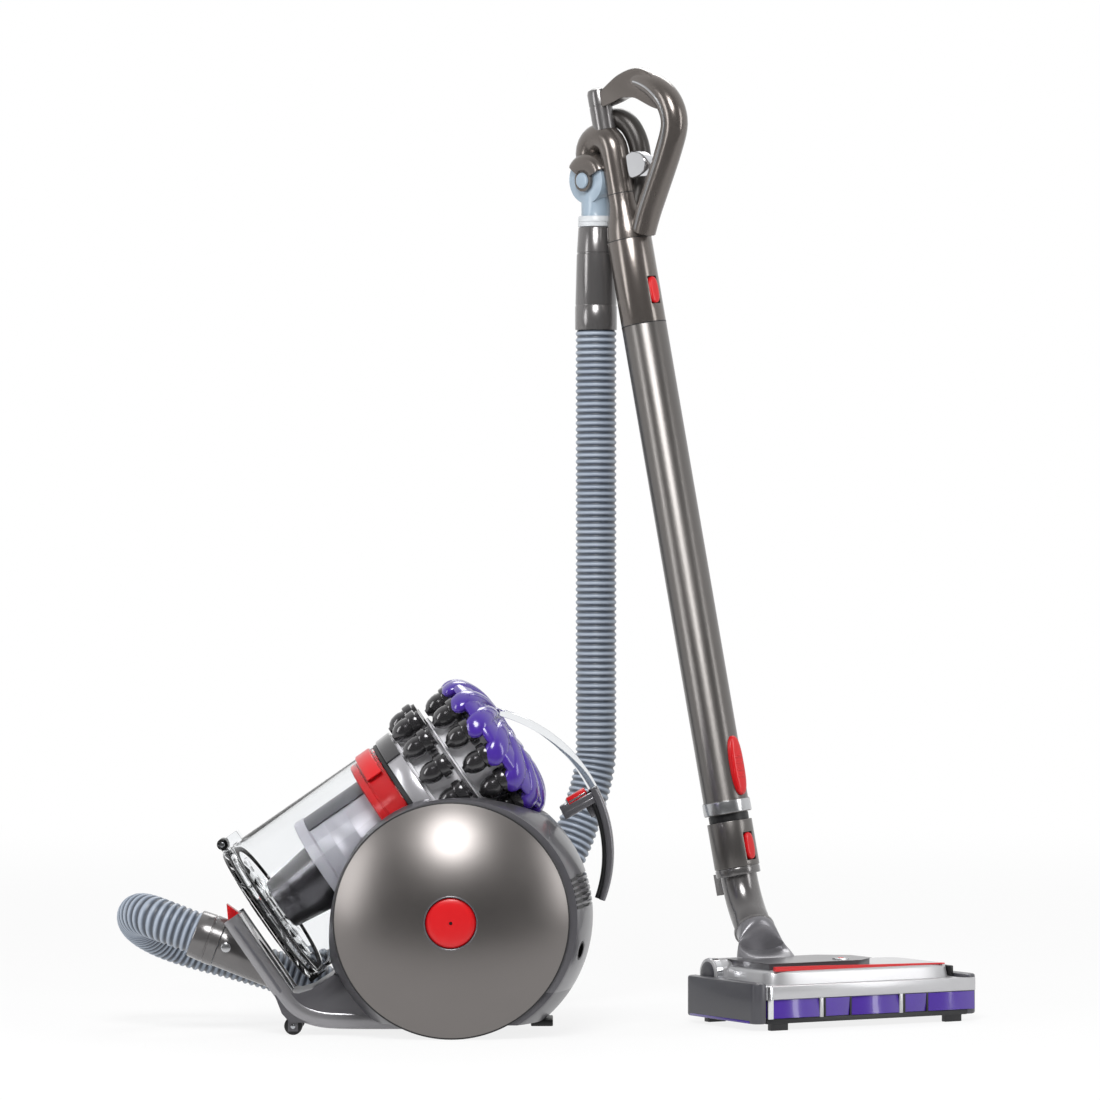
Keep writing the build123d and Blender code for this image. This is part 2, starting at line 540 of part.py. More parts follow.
crook -= boss * rod(KNUCKLE_PIN, -40, 40)
crook -= block(-80, BOSS_X + 16, -CHEEK_NEAR, CHEEK_NEAR, -60, 0)
TRIGGER_STEM = 3.0
trigger_hole = Pos(0, 0, 5) * Rot(0, 90, 0) * rod(TRIGGER_STEM + 0.4, 5, 40)
neck_room = riser_axis * rod(16.2, HOSE_CUFF_TOP_Z, boss_point.Z)
nodes["handle_crook"] = wand_plane * (crook - trigger_hole) - neck_room
LOOP_RADIUS = 13.0
LOOP_ROUTE = ((-7, 0, 76), (12, 0, 92), (62, 0, 90), (98, 0, 58), (92, 0, 28), (24, 0, -66))
loop_path = FilletPolyline(*LOOP_ROUTE, radius=26)
grip = sweep(Plane(loop_path @ 0, z_dir=loop_path % 0) * Circle(LOOP_RADIUS), path=loop_path)
nodes["handle_loop"] = wand_plane * (grip - tube - skirt - post)
LEVER = ((20, -9), (20, 17), (31, 18), (41, 14), (47, 7), (47, -1), (41, -7), (31, -11))
LEVER_HALF = 7.0
lever = side_plate(LEVER, LEVER_HALF)
stem = Pos(0, 0, 5) * Rot(0, 90, 0) * rod(TRIGGER_STEM, CROOK_BORE - 2, CROOK_RADIUS + 6)
nodes["trigger"] = wand_plane * (lever + stem)
BUTTON_HALF = 6.0
BUTTON_LENGTH = 28.0
BUTTON_FACE = 25.0


def wand_button(middle):
    low = middle - BUTTON_LENGTH / 2
    high = middle + BUTTON_LENGTH / 2
    key = block(20.8, BUTTON_FACE, -BUTTON_HALF, BUTTON_HALF, low, high)
    pocket = block(19, 40, -BUTTON_HALF - 0.4, BUTTON_HALF + 0.4, low - 0.4, high + 0.4)
    return key, pocket


top_key, top_pocket = wand_button(-128)
nodes["wand_collar"] = wand_plane * (pipe(WAND_RADIUS, 18, COLLAR_FOOT, COLLAR_TOP) - top_pocket)
nodes["wand_button_top"] = wand_plane * top_key

# Telescopic wand with its catch
nodes["outer_wand"] = wand_plane * (
    pipe(WAND_RADIUS, WAND_RADIUS - WAND_WALL, OUTER_FOOT + 14, COLLAR_FOOT)
    + pipe(WAND_RADIUS + 1, INNER_RADIUS + 0.4, OUTER_FOOT, OUTER_FOOT + 14))
CATCH_LOW = -660.0
CATCH_HIGH = -600.0
SADDLE_FACE = 28.5
SADDLE_HALF = 8.0
saddle = block(18, SADDLE_FACE, -SADDLE_HALF, SADDLE_HALF, CATCH_LOW, CATCH_HIGH)
saddle -= rod(WAND_RADIUS + 0.3, CATCH_LOW - 40, CATCH_HIGH + 40)
nodes["telescope_catch"] = wand_plane * saddle
low_key, low_pocket = wand_button(INNER_CUFF_FOOT + 20)
inner = pipe(INNER_RADIUS, INNER_RADIUS - 2, INNER_CUFF_FOOT, -330)
inner += pipe(WAND_RADIUS, INNER_RADIUS - 2, INNER_CUFF_FOOT, INNER_CUFF_TOP)
nodes["inner_wand"] = wand_plane * (inner - low_pocket)
nodes["wand_button_low"] = wand_plane * low_key

# Neck elbow from the wand down to the boot, which swivels on the elbow and pitches on the head
pivot = head_plane.from_local_coords((PIVOT_X, PIVOT_Y, PIVOT_Z))
neck_top = wand_plane.from_local_coords((0, 0, INNER_CUFF_FOOT))
neck_corner = wand_plane.from_local_coords((0, 0, INNER_CUFF_FOOT - 34))
neck_up = (neck_corner - pivot).normalized()
NECK_RADIUS = 19.0
BOOT_TOP = 34.0
neck_foot = pivot + neck_up * BOOT_TOP
neck_run = min((neck_corner - neck_top).length, (neck_corner - neck_foot).length)
neck_turn = math.radians((neck_corner - neck_top).get_angle(neck_foot - neck_corner))
neck_bend = 0.85 * neck_run / math.tan(neck_turn / 2)
neck_path = FilletPolyline(neck_top, neck_corner, neck_foot, radius=neck_bend)
neck_start = Plane(neck_top, z_dir=neck_path % 0)
elbow_tube = sweep(neck_start * Circle(NECK_RADIUS), path=neck_path)
elbow_tube += wand_plane * rod(WAND_RADIUS - 1, INNER_CUFF_FOOT - 8, INNER_CUFF_FOOT)
elbow_tube -= sweep(neck_start * Circle(NECK_RADIUS - 3), path=neck_path)
clip = wand_plane * block(-30, -20, -6, 6, -760, -738)
clip -= sweep(neck_start * Circle(NECK_RADIUS - 1), path=neck_path)
nodes["neck_elbow"] = elbow_tube + clip
boot_plane = Plane(pivot, x_dir=head_plane.x_dir, z_dir=neck_up)
PIVOT_RADIUS = 11.0
PIVOT_HALF = 18.0
PIVOT_PIN = 4.0
boot_rim = BOOT_TOP - 0.4
flare = lathe([(0, 17), (23, 17), (26, 20), (22, 27), (NECK_RADIUS + 1, boot_rim), (0, boot_rim)])
pivot_axis = Pos(PIVOT_X, PIVOT_Y, PIVOT_Z) * Rot(0, 90, 0)
boot = boot_plane * (flare + rod(9, 0, 18))
boot += head_plane * pivot_axis * rod(PIVOT_RADIUS, -PIVOT_HALF, PIVOT_HALF)
nodes["neck_boot"] = boot - head_plane * pivot_axis * rod(PIVOT_PIN + RUNNING_GAP, -30, 30)

# Floor head
HALF_WIDTH = HEAD_WIDTH / 2
HALF_DEPTH = HEAD_DEPTH / 2
CAP_WIDTH = 14.0
BODY_HALF = HALF_WIDTH - CAP_WIDTH
BRUSH_Y = -34.0
BRUSH_Z = 21.5
BRUSH_RADIUS = 17.0
brush_axis = Pos(0, BRUSH_Y, BRUSH_Z) * Rot(0, 90, 0)
brush_room = brush_axis * rod(BRUSH_RADIUS + 2.5, -BODY_HALF + 6, BODY_HALF - 6)
brush_room += block(-BODY_HALF + 6, BODY_HALF - 6, BRUSH_Y - 16, BRUSH_Y + 16, 0, BRUSH_Z)
BRUSH_SPINDLE = 4.0
spindle_hole = brush_axis * rod(BRUSH_SPINDLE + RUNNING_GAP, -BODY_HALF - 1, BODY_HALF + 1)
WINDOW_LOW = 12.0
WINDOW_TOP = 31.0
FRONT_DEPTH = 7.0
front_y = -HALF_DEPTH + FRONT_DEPTH
BARREL_RADIUS = 15.5
BARREL_Y = 46.0
BARREL_Z = 50.0
BARREL_LENGTH = 41.5
body = block(-BODY_HALF, BODY_HALF, front_y, HALF_DEPTH, HEAD_LOW + 3, HEAD_TOP)
body += block(-BODY_HALF, BODY_HALF, -HALF_DEPTH, front_y, WINDOW_TOP, HEAD_TOP)
barrel_start = -BODY_HALF + 0.5
barrel = rod(BARREL_RADIUS, barrel_start, barrel_start + BARREL_LENGTH)
barrel = Pos(0, BARREL_Y, BARREL_Z) * Rot(0, 90, 0) * barrel
body += barrel
nodes["head_body"] = head_plane * (body - brush_room - spindle_hole)
window = block(-BODY_HALF, BODY_HALF, -HALF_DEPTH, front_y, WINDOW_LOW, WINDOW_TOP) - brush_room
nodes["front_window"] = head_plane * window
lip = block(-BODY_HALF, BODY_HALF, -HALF_DEPTH, front_y, HEAD_LOW, WINDOW_LOW) - brush_room
sole = block(-BODY_HALF, BODY_HALF, front_y, HALF_DEPTH, HEAD_LOW, HEAD_LOW + 3) - brush_room
pads = []
PAD_HALF = 10.0
PAD_INSET = 16.0
for x in (-BODY_HALF + PAD_INSET, BODY_HALF - PAD_INSET):
    pads.append(block(x - PAD_HALF, x + PAD_HALF, HALF_DEPTH - 16, HALF_DEPTH - 6, 0, HEAD_LOW))
    pads.append(block(x - PAD_HALF, x + PAD_HALF, -HALF_DEPTH + 1, -HALF_DEPTH + 8, 0, HEAD_LOW) - brush_room)
for pad in pads:
    sole += pad
nodes["sole_plate"] = head_plane * (sole + lip)
STRIP_COUNT = 6
roller = rod(BRUSH_RADIUS - 6, -BODY_HALF + 8, BODY_HALF - 8) + rod(BRUSH_SPINDLE, -BODY_HALF, BODY_HALF)
for strip in around(STRIP_COUNT, BRUSH_RADIUS - 4, block(-4, 4, -2, 2, -BODY_HALF + 10, BODY_HALF - 10)):
    roller += strip
nodes["brush_bar"] = head_plane * brush_axis * roller
DECK_LEFT = -106.0
DECK_RIGHT = 118.0
FAIRING_LEFT = -98.0
FAIRING_RIGHT = 36.0
FAIRING_TOP = DECK_TOP + 6.0


def deck_tier(outline, left, right):
    edge = Polyline(*[(0, y, z) for y, z in outline], close=True)
    return Pos(left, 0, 0) * extrude(make_face(edge), amount=right - left, dir=(1, 0, 0))


deck = deck_tier([(-50, HEAD_TOP), (62, HEAD_TOP), (60, DECK_TOP), (-47, DECK_TOP)], DECK_LEFT, DECK_RIGHT)
fairing = [(-36, DECK_TOP), (42, DECK_TOP), (42, FAIRING_TOP), (-30, FAIRING_TOP)]
deck += deck_tier(fairing, FAIRING_LEFT, FAIRING_RIGHT)
deck -= barrel
LUG_WIDTH = 5.0
LUG_RADIUS = 10.0
lugs = []
for x in (PIVOT_X - PIVOT_HALF - LUG_WIDTH - 0.4, PIVOT_X + PIVOT_HALF + 0.4):
    lug = block(x, x + LUG_WIDTH, PIVOT_Y - LUG_RADIUS, PIVOT_Y + LUG_RADIUS, DECK_TOP - 2, PIVOT_Z)
    lugs.append(lug + Pos(x, PIVOT_Y, PIVOT_Z) * Rot(0, 90, 0) * rod(LUG_RADIUS, 0, LUG_WIDTH))
deck += lugs[0] + lugs[1] + pivot_axis * rod(PIVOT_PIN, -PIVOT_HALF - 4, PIVOT_HALF + 4)
pivot_room = pivot_axis * rod(PIVOT_RADIUS + 0.5, -PIVOT_HALF - 0.3, PIVOT_HALF + 0.3)
deck -= pivot_room - pivot_axis * rod(PIVOT_PIN, -30, 30)
TRACK_X = 10.0
TRACK_Y = -20.0
TRACK_HALF = 20.0
slider_track = block(-TRACK_HALF, TRACK_HALF, -6, 6, FAIRING_TOP - 3, FAIRING_TOP + 1)
nodes["deck"] = head_plane * (deck - Pos(TRACK_X, TRACK_Y, 0) * slider_track)
slider = block(TRACK_X - 19, TRACK_X - 5, TRACK_Y - 5.6, TRACK_Y + 5.6, FAIRING_TOP - 2.6, FAIRING_TOP + 2)
nodes["suction_slider"] = head_plane * slider
cap = block(BODY_HALF, HALF_WIDTH, -HALF_DEPTH, HALF_DEPTH, HEAD_LOW, HEAD_TOP + 4)
cap = fillet(cap.edges().filter_by(Axis.Z).group_by(Axis.X)[-1], 9)
cap_far = mirror(cap, Plane.YZ)
nodes["end_caps"] = head_plane * group([cap, cap_far])

# Move the origin below the middle of everything but the hose, and write the pieces
hose_names = ("hose_run", "hose_riser")
boxes = [shape.bounding_box() for name, shape in nodes.items() if name not in hose_names]
low = [min(values) for values in zip(*[tuple(box.min) for box in boxes])]
high = [max(values) for values in zip(*[tuple(box.max) for box in boxes])]
shift = Vector(-(low[0] + high[0]) / 2, -(low[1] + high[1]) / 2, -low[2])
print("shift", shift, "low", low, "high", high)
for label, point in (("boss", boss_point), ("pivot", pivot), ("neck foot", neck_foot)):
    print(label, point + shift)
ways = (("wand up", wand_up), ("wand front", wand_front), ("lateral", wand_plane.y_dir), ("neck up", neck_up))
for label, way in ways:
    print(label, way)
os.makedirs("parts", exist_ok=True)
for name, shape in nodes.items():
    export_step(Pos(*shift) * shape, "parts/" + name + ".step")
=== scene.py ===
import bpy
import json
import math
from mathutils import Matrix, Vector

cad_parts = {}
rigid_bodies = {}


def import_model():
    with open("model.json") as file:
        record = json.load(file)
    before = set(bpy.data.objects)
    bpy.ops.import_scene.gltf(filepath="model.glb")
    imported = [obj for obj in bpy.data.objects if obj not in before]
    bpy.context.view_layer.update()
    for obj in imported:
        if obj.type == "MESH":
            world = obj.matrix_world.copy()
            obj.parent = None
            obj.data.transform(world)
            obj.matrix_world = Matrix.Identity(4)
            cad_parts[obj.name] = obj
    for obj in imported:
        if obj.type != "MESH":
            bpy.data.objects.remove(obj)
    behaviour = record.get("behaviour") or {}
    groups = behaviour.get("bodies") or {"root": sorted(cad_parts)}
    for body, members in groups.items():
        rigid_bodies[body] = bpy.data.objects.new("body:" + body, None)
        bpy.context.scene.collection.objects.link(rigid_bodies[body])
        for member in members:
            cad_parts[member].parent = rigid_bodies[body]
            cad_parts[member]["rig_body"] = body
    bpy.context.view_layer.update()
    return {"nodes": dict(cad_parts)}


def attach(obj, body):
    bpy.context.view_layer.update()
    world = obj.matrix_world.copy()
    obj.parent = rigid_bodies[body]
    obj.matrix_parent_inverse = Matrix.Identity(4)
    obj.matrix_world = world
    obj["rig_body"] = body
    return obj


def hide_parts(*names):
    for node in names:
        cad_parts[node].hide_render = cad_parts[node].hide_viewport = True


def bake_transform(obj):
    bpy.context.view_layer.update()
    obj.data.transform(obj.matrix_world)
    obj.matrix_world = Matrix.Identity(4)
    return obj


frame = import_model()

# Camera: level, in front of the near ball wheel, with a long lens as for a catalogue picture.
# It stands as high as the middle of the wand, and nothing of the cleaner lies outside its view.
camera_data = bpy.data.cameras.new("studio_camera")
camera_data.sensor_width = 36.0
camera_data.lens = 176.73
camera = bpy.data.objects.new("studio_camera", camera_data)
camera.location = (-0.035726, -5.482386, 0.4816)
camera.rotation_euler = (math.radians(90), 0, 0)
bpy.context.scene.collection.objects.link(camera)
bpy.context.scene.camera = camera
bpy.context.scene.view_settings.view_transform = "Standard"


# Studio: a pale floor, one large soft box above the camera, two side panels, one behind and a weak sky.
# The floor is matt white card that runs out to the white of the room, so that no edge shows.
def tint(code):
    # Colour code as the shader's linear colour
    parts = [int(code[i:i + 2], 16) / 255 for i in (1, 3, 5)]
    return tuple(p / 12.92 if p < 0.04045 else ((p + 0.055) / 1.055) ** 2.4 for p in parts) + (1.0,)


def new_material(name):
    # A material with nodes, and its nodes and links
    material = bpy.data.materials.new(name)
    material.use_nodes = True
    return material, material.node_tree.nodes, material.node_tree.links


def math_node(nodes, links, operation, *values):
    # The result of a math node on these values, each a number or the output of another node
    node = nodes.new("ShaderNodeMath")
    node.operation = operation
    for socket, value in zip(node.inputs, values):
        if isinstance(value, float):
            socket.default_value = value
        else:
            links.new(value, socket)
    return node.outputs[0]


def faded(nodes, links, value, low, high, least):
    # Rises smoothly from the least to 1 while the value goes from low to high
    fade = nodes.new("ShaderNodeMapRange")
    fade.interpolation_type = "SMOOTHSTEP"
    for socket, number in (("From Min", low), ("From Max", high), ("To Min", least)):
        fade.inputs[socket].default_value = number
    links.new(value, fade.inputs["Value"])
    return fade.outputs[0]


def seen_directly(nodes, links):
    # 1 for rays from the camera and for mirrored or refracted rays, else 0
    rays = nodes.new("ShaderNodeLightPath").outputs
    seen = math_node(nodes, links, "MAXIMUM", rays["Is Camera Ray"], rays["Is Glossy Ray"])
    return math_node(nodes, links, "MAXIMUM", seen, rays["Is Transmission Ray"])


def dim_when_mirrored(nodes, links, place, low, high, least):
    # 1 for what is seen directly; mirrored, it falls to the least towards the camera's side of the room
    parts = nodes.new("ShaderNodeSeparateXYZ")
    links.new(place, parts.inputs[0])
    shade = faded(nodes, links, parts.outputs["Y"], low, high, least)
    mirrored = nodes.new("ShaderNodeLightPath").outputs["Is Glossy Ray"]
    return math_node(nodes, links, "MAXIMUM", shade, math_node(nodes, links, "SUBTRACT", 1.0, mirrored))


def mixed(nodes, links, share, first, second, output):
    # The two shaders mixed by the share, as the output of the node tree
    mix = nodes.new("ShaderNodeMixShader")
    for socket, source in zip(mix.inputs, (share, first.outputs[0], second.outputs[0])):
        links.new(source, socket)
    links.new(mix.outputs[0], nodes[output].inputs[0])


FLOOR_GLOW = 0.84
FLOOR_WHITE = 0.86
FADE_START, FADE_END = 0.8, 4.0
card, nodes, links = new_material("floor_card")
card_place = nodes.new("ShaderNodeTexCoord").outputs["Object"]
card_reach = nodes.new("ShaderNodeVectorMath")
card_reach.operation = "LENGTH"
links.new(card_place, card_reach.inputs[0])
card_fade = faded(nodes, links, card_reach.outputs["Value"], FADE_START, FADE_END, FLOOR_GLOW)
card_share = math_node(nodes, links, "MULTIPLY", seen_directly(nodes, links), card_fade)
card_level = dim_when_mirrored(nodes, links, card_place, -0.80, -0.23, 0.10)
card_matt = nodes["Principled BSDF"]
card_matt.inputs["Roughness"].default_value = 0.9
card_matt.inputs["Specular IOR Level"].default_value = 0.1
links.new(math_node(nodes, links, "MULTIPLY", card_level, FLOOR_WHITE), card_matt.inputs["Base Color"])
card_glow = nodes.new("ShaderNodeEmission")
links.new(card_level, card_glow.inputs["Strength"])
mixed(nodes, links, card_share, card_matt, card_glow, "Material Output")

FLOOR_SIZE = 60
bpy.ops.mesh.primitive_plane_add(size=FLOOR_SIZE)
floor = bpy.context.object
floor.name = "floor"
floor.data.materials.append(card)


def soft_box(name, place, target, width, height, watts):
    # An oval area lamp that shines on the target and isn't seen itself
    lamp_data = bpy.data.lights.new(name, "AREA")
    lamp_data.shape = "ELLIPSE"
    lamp_data.size = width
    lamp_data.size_y = height
    lamp_data.energy = watts
    lamp = bpy.data.objects.new(name, lamp_data)
    lamp.location = place
    lamp.rotation_euler = (Vector(target) - Vector(place)).to_track_quat("-Z", "Y").to_euler()
    lamp.visible_camera = False
    bpy.context.scene.collection.objects.link(lamp)


soft_box("soft_box_above", (-0.16, -2.10, 2.20), (-0.1, -0.05, 0.25), 1.25, 1.25, 62)
soft_box("panel_left", (-2.60, -1.30, 1.00), (0, 0, 0.40), 0.70, 2.40, 26)
soft_box("panel_right", (2.50, -1.10, 1.10), (0, 0, 0.45), 0.60, 2.40, 20)
soft_box("panel_behind", (0.30, 2.20, 2.60), (0, 0, 0.30), 1.80, 1.20, 26)

world = bpy.data.worlds.new("pale_room")
bpy.context.scene.world = world
world.use_nodes = True
nodes, links = world.node_tree.nodes, world.node_tree.links
SKY_LEVEL = 0.36
sky = nodes["Background"]
sky.inputs["Strength"].default_value = SKY_LEVEL
white_sky = nodes.new("ShaderNodeBackground")
white_sky.inputs["Strength"].default_value = 1.0
sky.inputs["Color"].default_value = (1, 1, 1, 1)
mixed(nodes, links, seen_directly(nodes, links), sky, white_sky, "World Output")
room_way = nodes.new("ShaderNodeTexCoord").outputs["Generated"]
links.new(dim_when_mirrored(nodes, links, room_way, -0.8, 0.3, 0.07), white_sky.inputs["Color"])


# Hose: blown polyethylene with a wound rib, pale blue-grey, hollow, pushed into a cuff at each end.
# It leaves the inlet at the front, lies along the floor behind the machine and stands up to the handle.
ROW_X, ROW_Y = 132.726, 82.386


def machine_point(x, y, z):
    # Millimetres from the floor point below the ball's centre, as a place in the row frame
    return Vector(((x - ROW_X) / 1000, (y - ROW_Y) / 1000, z / 1000))


HOSE_ROUTE = [
    (-223.7, 0, 85.3), (-285.6, 0, 109.7), (-319, 33.4, 118), (-319, 80.6, 101), (-285.6, 114, 80),
    (-205, 126, 58), (-125, 137, 30), (-45, 154, 22), (42, 205, 64), (108, 244, 142), (145.3, 266.3, 245),
    (145.3, 266.3, 300), (145.3, 266.3, 712),
]
HOSE_CREST = 0.0215
HOSE_ROOT = 0.0196
HOSE_BORE = 0.0174
HOSE_SIDES = 28
HOSE_PITCH = 0.0067
RIB_FORM = ((0.0, 0.0), (0.14, 0.25), (0.26, 0.75), (0.38, 1.0), (0.56, 1.0), (0.68, 0.75), (0.8, 0.25))

hose_line = bpy.data.curves.new("hose_line", "CURVE")
hose_line.dimensions = "3D"
hose_line.resolution_u = 64
hose_spline = hose_line.splines.new("NURBS")
hose_spline.points.add(len(HOSE_ROUTE) - 1)
for point, place in zip(hose_spline.points, HOSE_ROUTE):
    point.co = (*machine_point(*place), 1.0)
hose_spline.order_u = 3
hose_spline.use_endpoint_u = True
hose_line_object = bpy.data.objects.new("hose_line", hose_line)
bpy.context.scene.collection.objects.link(hose_line_object)
line_mesh = bpy.data.meshes.new_from_object(hose_line_object)
hose_path = [vertex.co.copy() for vertex in line_mesh.vertices]
bpy.data.objects.remove(hose_line_object)
bpy.data.curves.remove(hose_line)
bpy.data.meshes.remove(line_mesh)

reach = [0.0]
for before, after in zip(hose_path, hose_path[1:]):
    reach.append(reach[-1] + (after - before).length)


def hose_at(distance):
    # Place and direction that far along the hose
    distance = min(max(distance, 0.0), reach[-1])
    index = next(i for i in range(1, len(reach)) if reach[i] >= distance - 1e-9)
    share = (distance - reach[index - 1]) / (reach[index] - reach[index - 1])
    before, after = hose_path[index - 1], hose_path[index]
    return before.lerp(after, share), (after - before).normalized()


rib_count = round(reach[-1] / HOSE_PITCH)
rib_pitch = reach[-1] / rib_count
rings = []
for rib in range(rib_count):
    rings += [((rib + share) * rib_pitch, rise) for share, rise in RIB_FORM]
rings.append((reach[-1], 0.0))
vertices, faces, ridge = [], [], []
across = Vector((0, 1, 0))
hose_frames = []
for distance, rise in rings:
    middle, along = hose_at(distance)
    across = (across - along * across.dot(along)).normalized()
    hose_frames.append((middle, across.copy(), along.cross(across)))


def hose_ring(index, radius, height):
    # One ring of vertices; height says how far up the rib it lies
    middle, side, up = hose_frames[index]
    for step in range(HOSE_SIDES):
        turn = 2 * math.pi * step / HOSE_SIDES
        vertices.append(middle + (side * math.cos(turn) + up * math.sin(turn)) * radius)
        ridge.append(height)
    return len(vertices) - HOSE_SIDES


def hose_wall(low, high, flip):
    # The faces between two rings
    for step in range(HOSE_SIDES):
        after = (step + 1) % HOSE_SIDES
        quad = (low + step, low + after, high + after, high + step)
        faces.append(quad[::-1] if flip else quad)


outside = []
for index, (distance, rise) in enumerate(rings):
    outside.append(hose_ring(index, HOSE_ROOT + (HOSE_CREST - HOSE_ROOT) * rise, rise))
bore_rings = [*range(0, len(rings) - 1, len(RIB_FORM)), len(rings) - 1]
inside = [hose_ring(i, HOSE_BORE, 0.0) for i in bore_rings]
for walls, flip in ((outside, False), (inside, True)):
    for low, high in zip(walls, walls[1:]):
        hose_wall(low, high, flip)
hose_wall(outside[0], inside[0], True)
hose_wall(outside[-1], inside[-1], False)
hose_mesh = bpy.data.meshes.new("hose")
hose_mesh.from_pydata(vertices, [], faces)
ridge_attribute = hose_mesh.attributes.new("ridge", "FLOAT", "POINT")
ridge_attribute.data.foreach_set("value", ridge)
for face in hose_mesh.polygons:
    face.use_smooth = True
hose = bpy.data.objects.new("hose", hose_mesh)
bpy.context.scene.collection.objects.link(hose)


def noise(nodes, links, scale, detail=2.0):
    # Cloudy noise on the piece's own coordinates
    where = nodes.new("ShaderNodeTexCoord").outputs["Object"]
    cloud = nodes.new("ShaderNodeTexNoise")
    cloud.inputs["Scale"].default_value = scale
    cloud.inputs["Detail"].default_value = detail
    links.new(where, cloud.inputs["Vector"])
    return cloud.outputs["Fac"]


def uneven_gloss(nodes, links, cloud, low, high):
    # Roughness that drifts between two values with the noise
    gloss = nodes.new("ShaderNodeMapRange")
    gloss.inputs["To Min"].default_value = low
    gloss.inputs["To Max"].default_value = high
    links.new(cloud, gloss.inputs["Value"])
    links.new(gloss.outputs["Result"], nodes["Principled BSDF"].inputs["Roughness"])


hose_blue, nodes, links = new_material("hose_blue")
shader = nodes["Principled BSDF"]
ridge_node = nodes.new("ShaderNodeAttribute")
ridge_node.attribute_name = "ridge"
# Painted shade: the ramp darkens the hose towards the bottom of each rib groove; the crests keep the hose's
# pale blue-grey.
ramp = nodes.new("ShaderNodeValToRGB")
ramp.color_ramp.elements[0].color = tint("#3c4149")
ramp.color_ramp.elements[1].color = tint("#a9b2be")
middle_stop = ramp.color_ramp.elements.new(0.5)
middle_stop.color = tint("#6d7682")
links.new(ridge_node.outputs["Fac"], ramp.inputs[0])
cloud = noise(nodes, links, scale=26.0)
shade = nodes.new("ShaderNodeMix")
shade.data_type = "RGBA"
shade.blend_type = "MULTIPLY"
shade.inputs["B"].default_value = tint("#d2d6de")
links.new(cloud, shade.inputs["Factor"])
links.new(ramp.outputs[0], shade.inputs["A"])
links.new(shade.outputs["Result"], shader.inputs["Base Color"])
uneven_gloss(nodes, links, cloud, 0.30, 0.46)
hose_mesh.materials.append(hose_blue)
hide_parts("hose_run", "hose_riser")
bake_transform(hose)


# Ball housing, base tray and rear cover: one crowned shell between the wheels, injection moulded in grey
# ABS in three parts and screwed together from inside. The rear cover has the exhaust slots.
def moulded(name, colour, rough, metal=0.0, coat=0.0, drift=0.10, bump=0.01, grain=1500.0):
    # Moulded or painted plastic: slow drift in colour and gloss, fine grain in the surface
    material, nodes, links = new_material(name)
    shader = nodes["Principled BSDF"]
    shader.inputs["Metallic"].default_value = metal
    shader.inputs["Coat Weight"].default_value = coat
    shader.inputs["Coat Roughness"].default_value = 0.06
    cloud = noise(nodes, links, scale=14.0, detail=4.0)
    mix = nodes.new("ShaderNodeMix")
    mix.data_type = "RGBA"
    base = tint(colour)
    mix.inputs["A"].default_value = tuple(c * (1 - drift) for c in base[:3]) + (1.0,)
    mix.inputs["B"].default_value = tuple(min(1.0, c * (1 + drift)) for c in base[:3]) + (1.0,)
    links.new(cloud, mix.inputs["Factor"])
    links.new(mix.outputs["Result"], shader.inputs["Base Color"])
    uneven_gloss(nodes, links, cloud, rough * 0.82, min(1.0, rough * 1.2))
    relief = nodes.new("ShaderNodeBump")
    relief.inputs["Strength"].default_value = bump
    relief.inputs["Distance"].default_value = 0.0004
    links.new(noise(nodes, links, scale=grain), relief.inputs["Height"])
    links.new(relief.outputs["Normal"], shader.inputs["Normal"])
    return material


def round_edges(piece, width, angle):
    # Edges sharper than the angle get a small radius
    bevel = piece.modifiers.new("rounded_edges", "BEVEL")
    bevel.width = width
    bevel.segments = 2
    bevel.limit_method = "ANGLE"
    bevel.angle_limit = math.radians(angle)
    bevel.harden_normals = False
    bpy.ops.object.modifier_apply(modifier=bevel.name)


def fit(piece, body, material, slot, *nodes):
    # The piece gets its finish, rides on its body and stands for these solids
    piece.data.materials.clear()
    piece.data.materials.append(material)
    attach(piece, body)
    if nodes:
        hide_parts(*nodes)
    return piece


def select_mesh():
    # All of the mesh in edit mode
    bpy.ops.mesh.select_all(action="SELECT")


def softened(node, material, slot, edge=0.0007):
    # A shell made from its CAD solid, with its hard edges rounded as the mould leaves them
    source = frame["nodes"][node]
    piece = bpy.data.objects.new(node + "_shell", source.data.copy())
    piece.data.name = piece.name
    bpy.context.scene.collection.objects.link(piece)
    bpy.ops.object.select_all(action="DESELECT")
    bpy.context.view_layer.objects.active = piece
    piece.select_set(True)
    bpy.ops.mesh.customdata_custom_splitnormals_clear()
    bpy.ops.object.mode_set(mode="EDIT")
    select_mesh()
    bpy.ops.mesh.remove_doubles(threshold=0.00001)
    bpy.ops.mesh.dissolve_limited(angle_limit=math.radians(0.6))
    bpy.ops.object.mode_set(mode="OBJECT")
    round_edges(piece, edge, 40)
    bpy.ops.object.shade_smooth_by_angle(angle=math.radians(32))
    return fit(piece, source["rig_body"], material, slot, node)


def dress(node, material):
    # A CAD solid that stays, with its own finish
    mesh = frame["nodes"][node].data
    mesh.materials.clear()
    mesh.materials.append(material)


housing_grey = moulded("housing_grey", "#57565a", 0.32, metal=0.35, coat=0.25)
base_grey = moulded("base_grey", "#4b4a4e", 0.36, metal=0.2, coat=0.1)
# Black plastic and rubber; the same black also paints the shade inside the exhaust slots and the hub screw
# holes.
black_and_painted_shade = moulded("black_and_painted_shade", "#0f0f11", 0.45)
softened("ball_housing", housing_grey, "housing_grey")
softened("base_tray", base_grey, "base_grey", edge=0.0012)
softened("rear_cover", housing_grey, "housing_grey", edge=0.0004)
softened("cord_outlet_bush", black_and_painted_shade, "black_plastic", edge=0.0003)
softened("rear_foot", black_and_painted_shade, "rubber_black", edge=0.001)

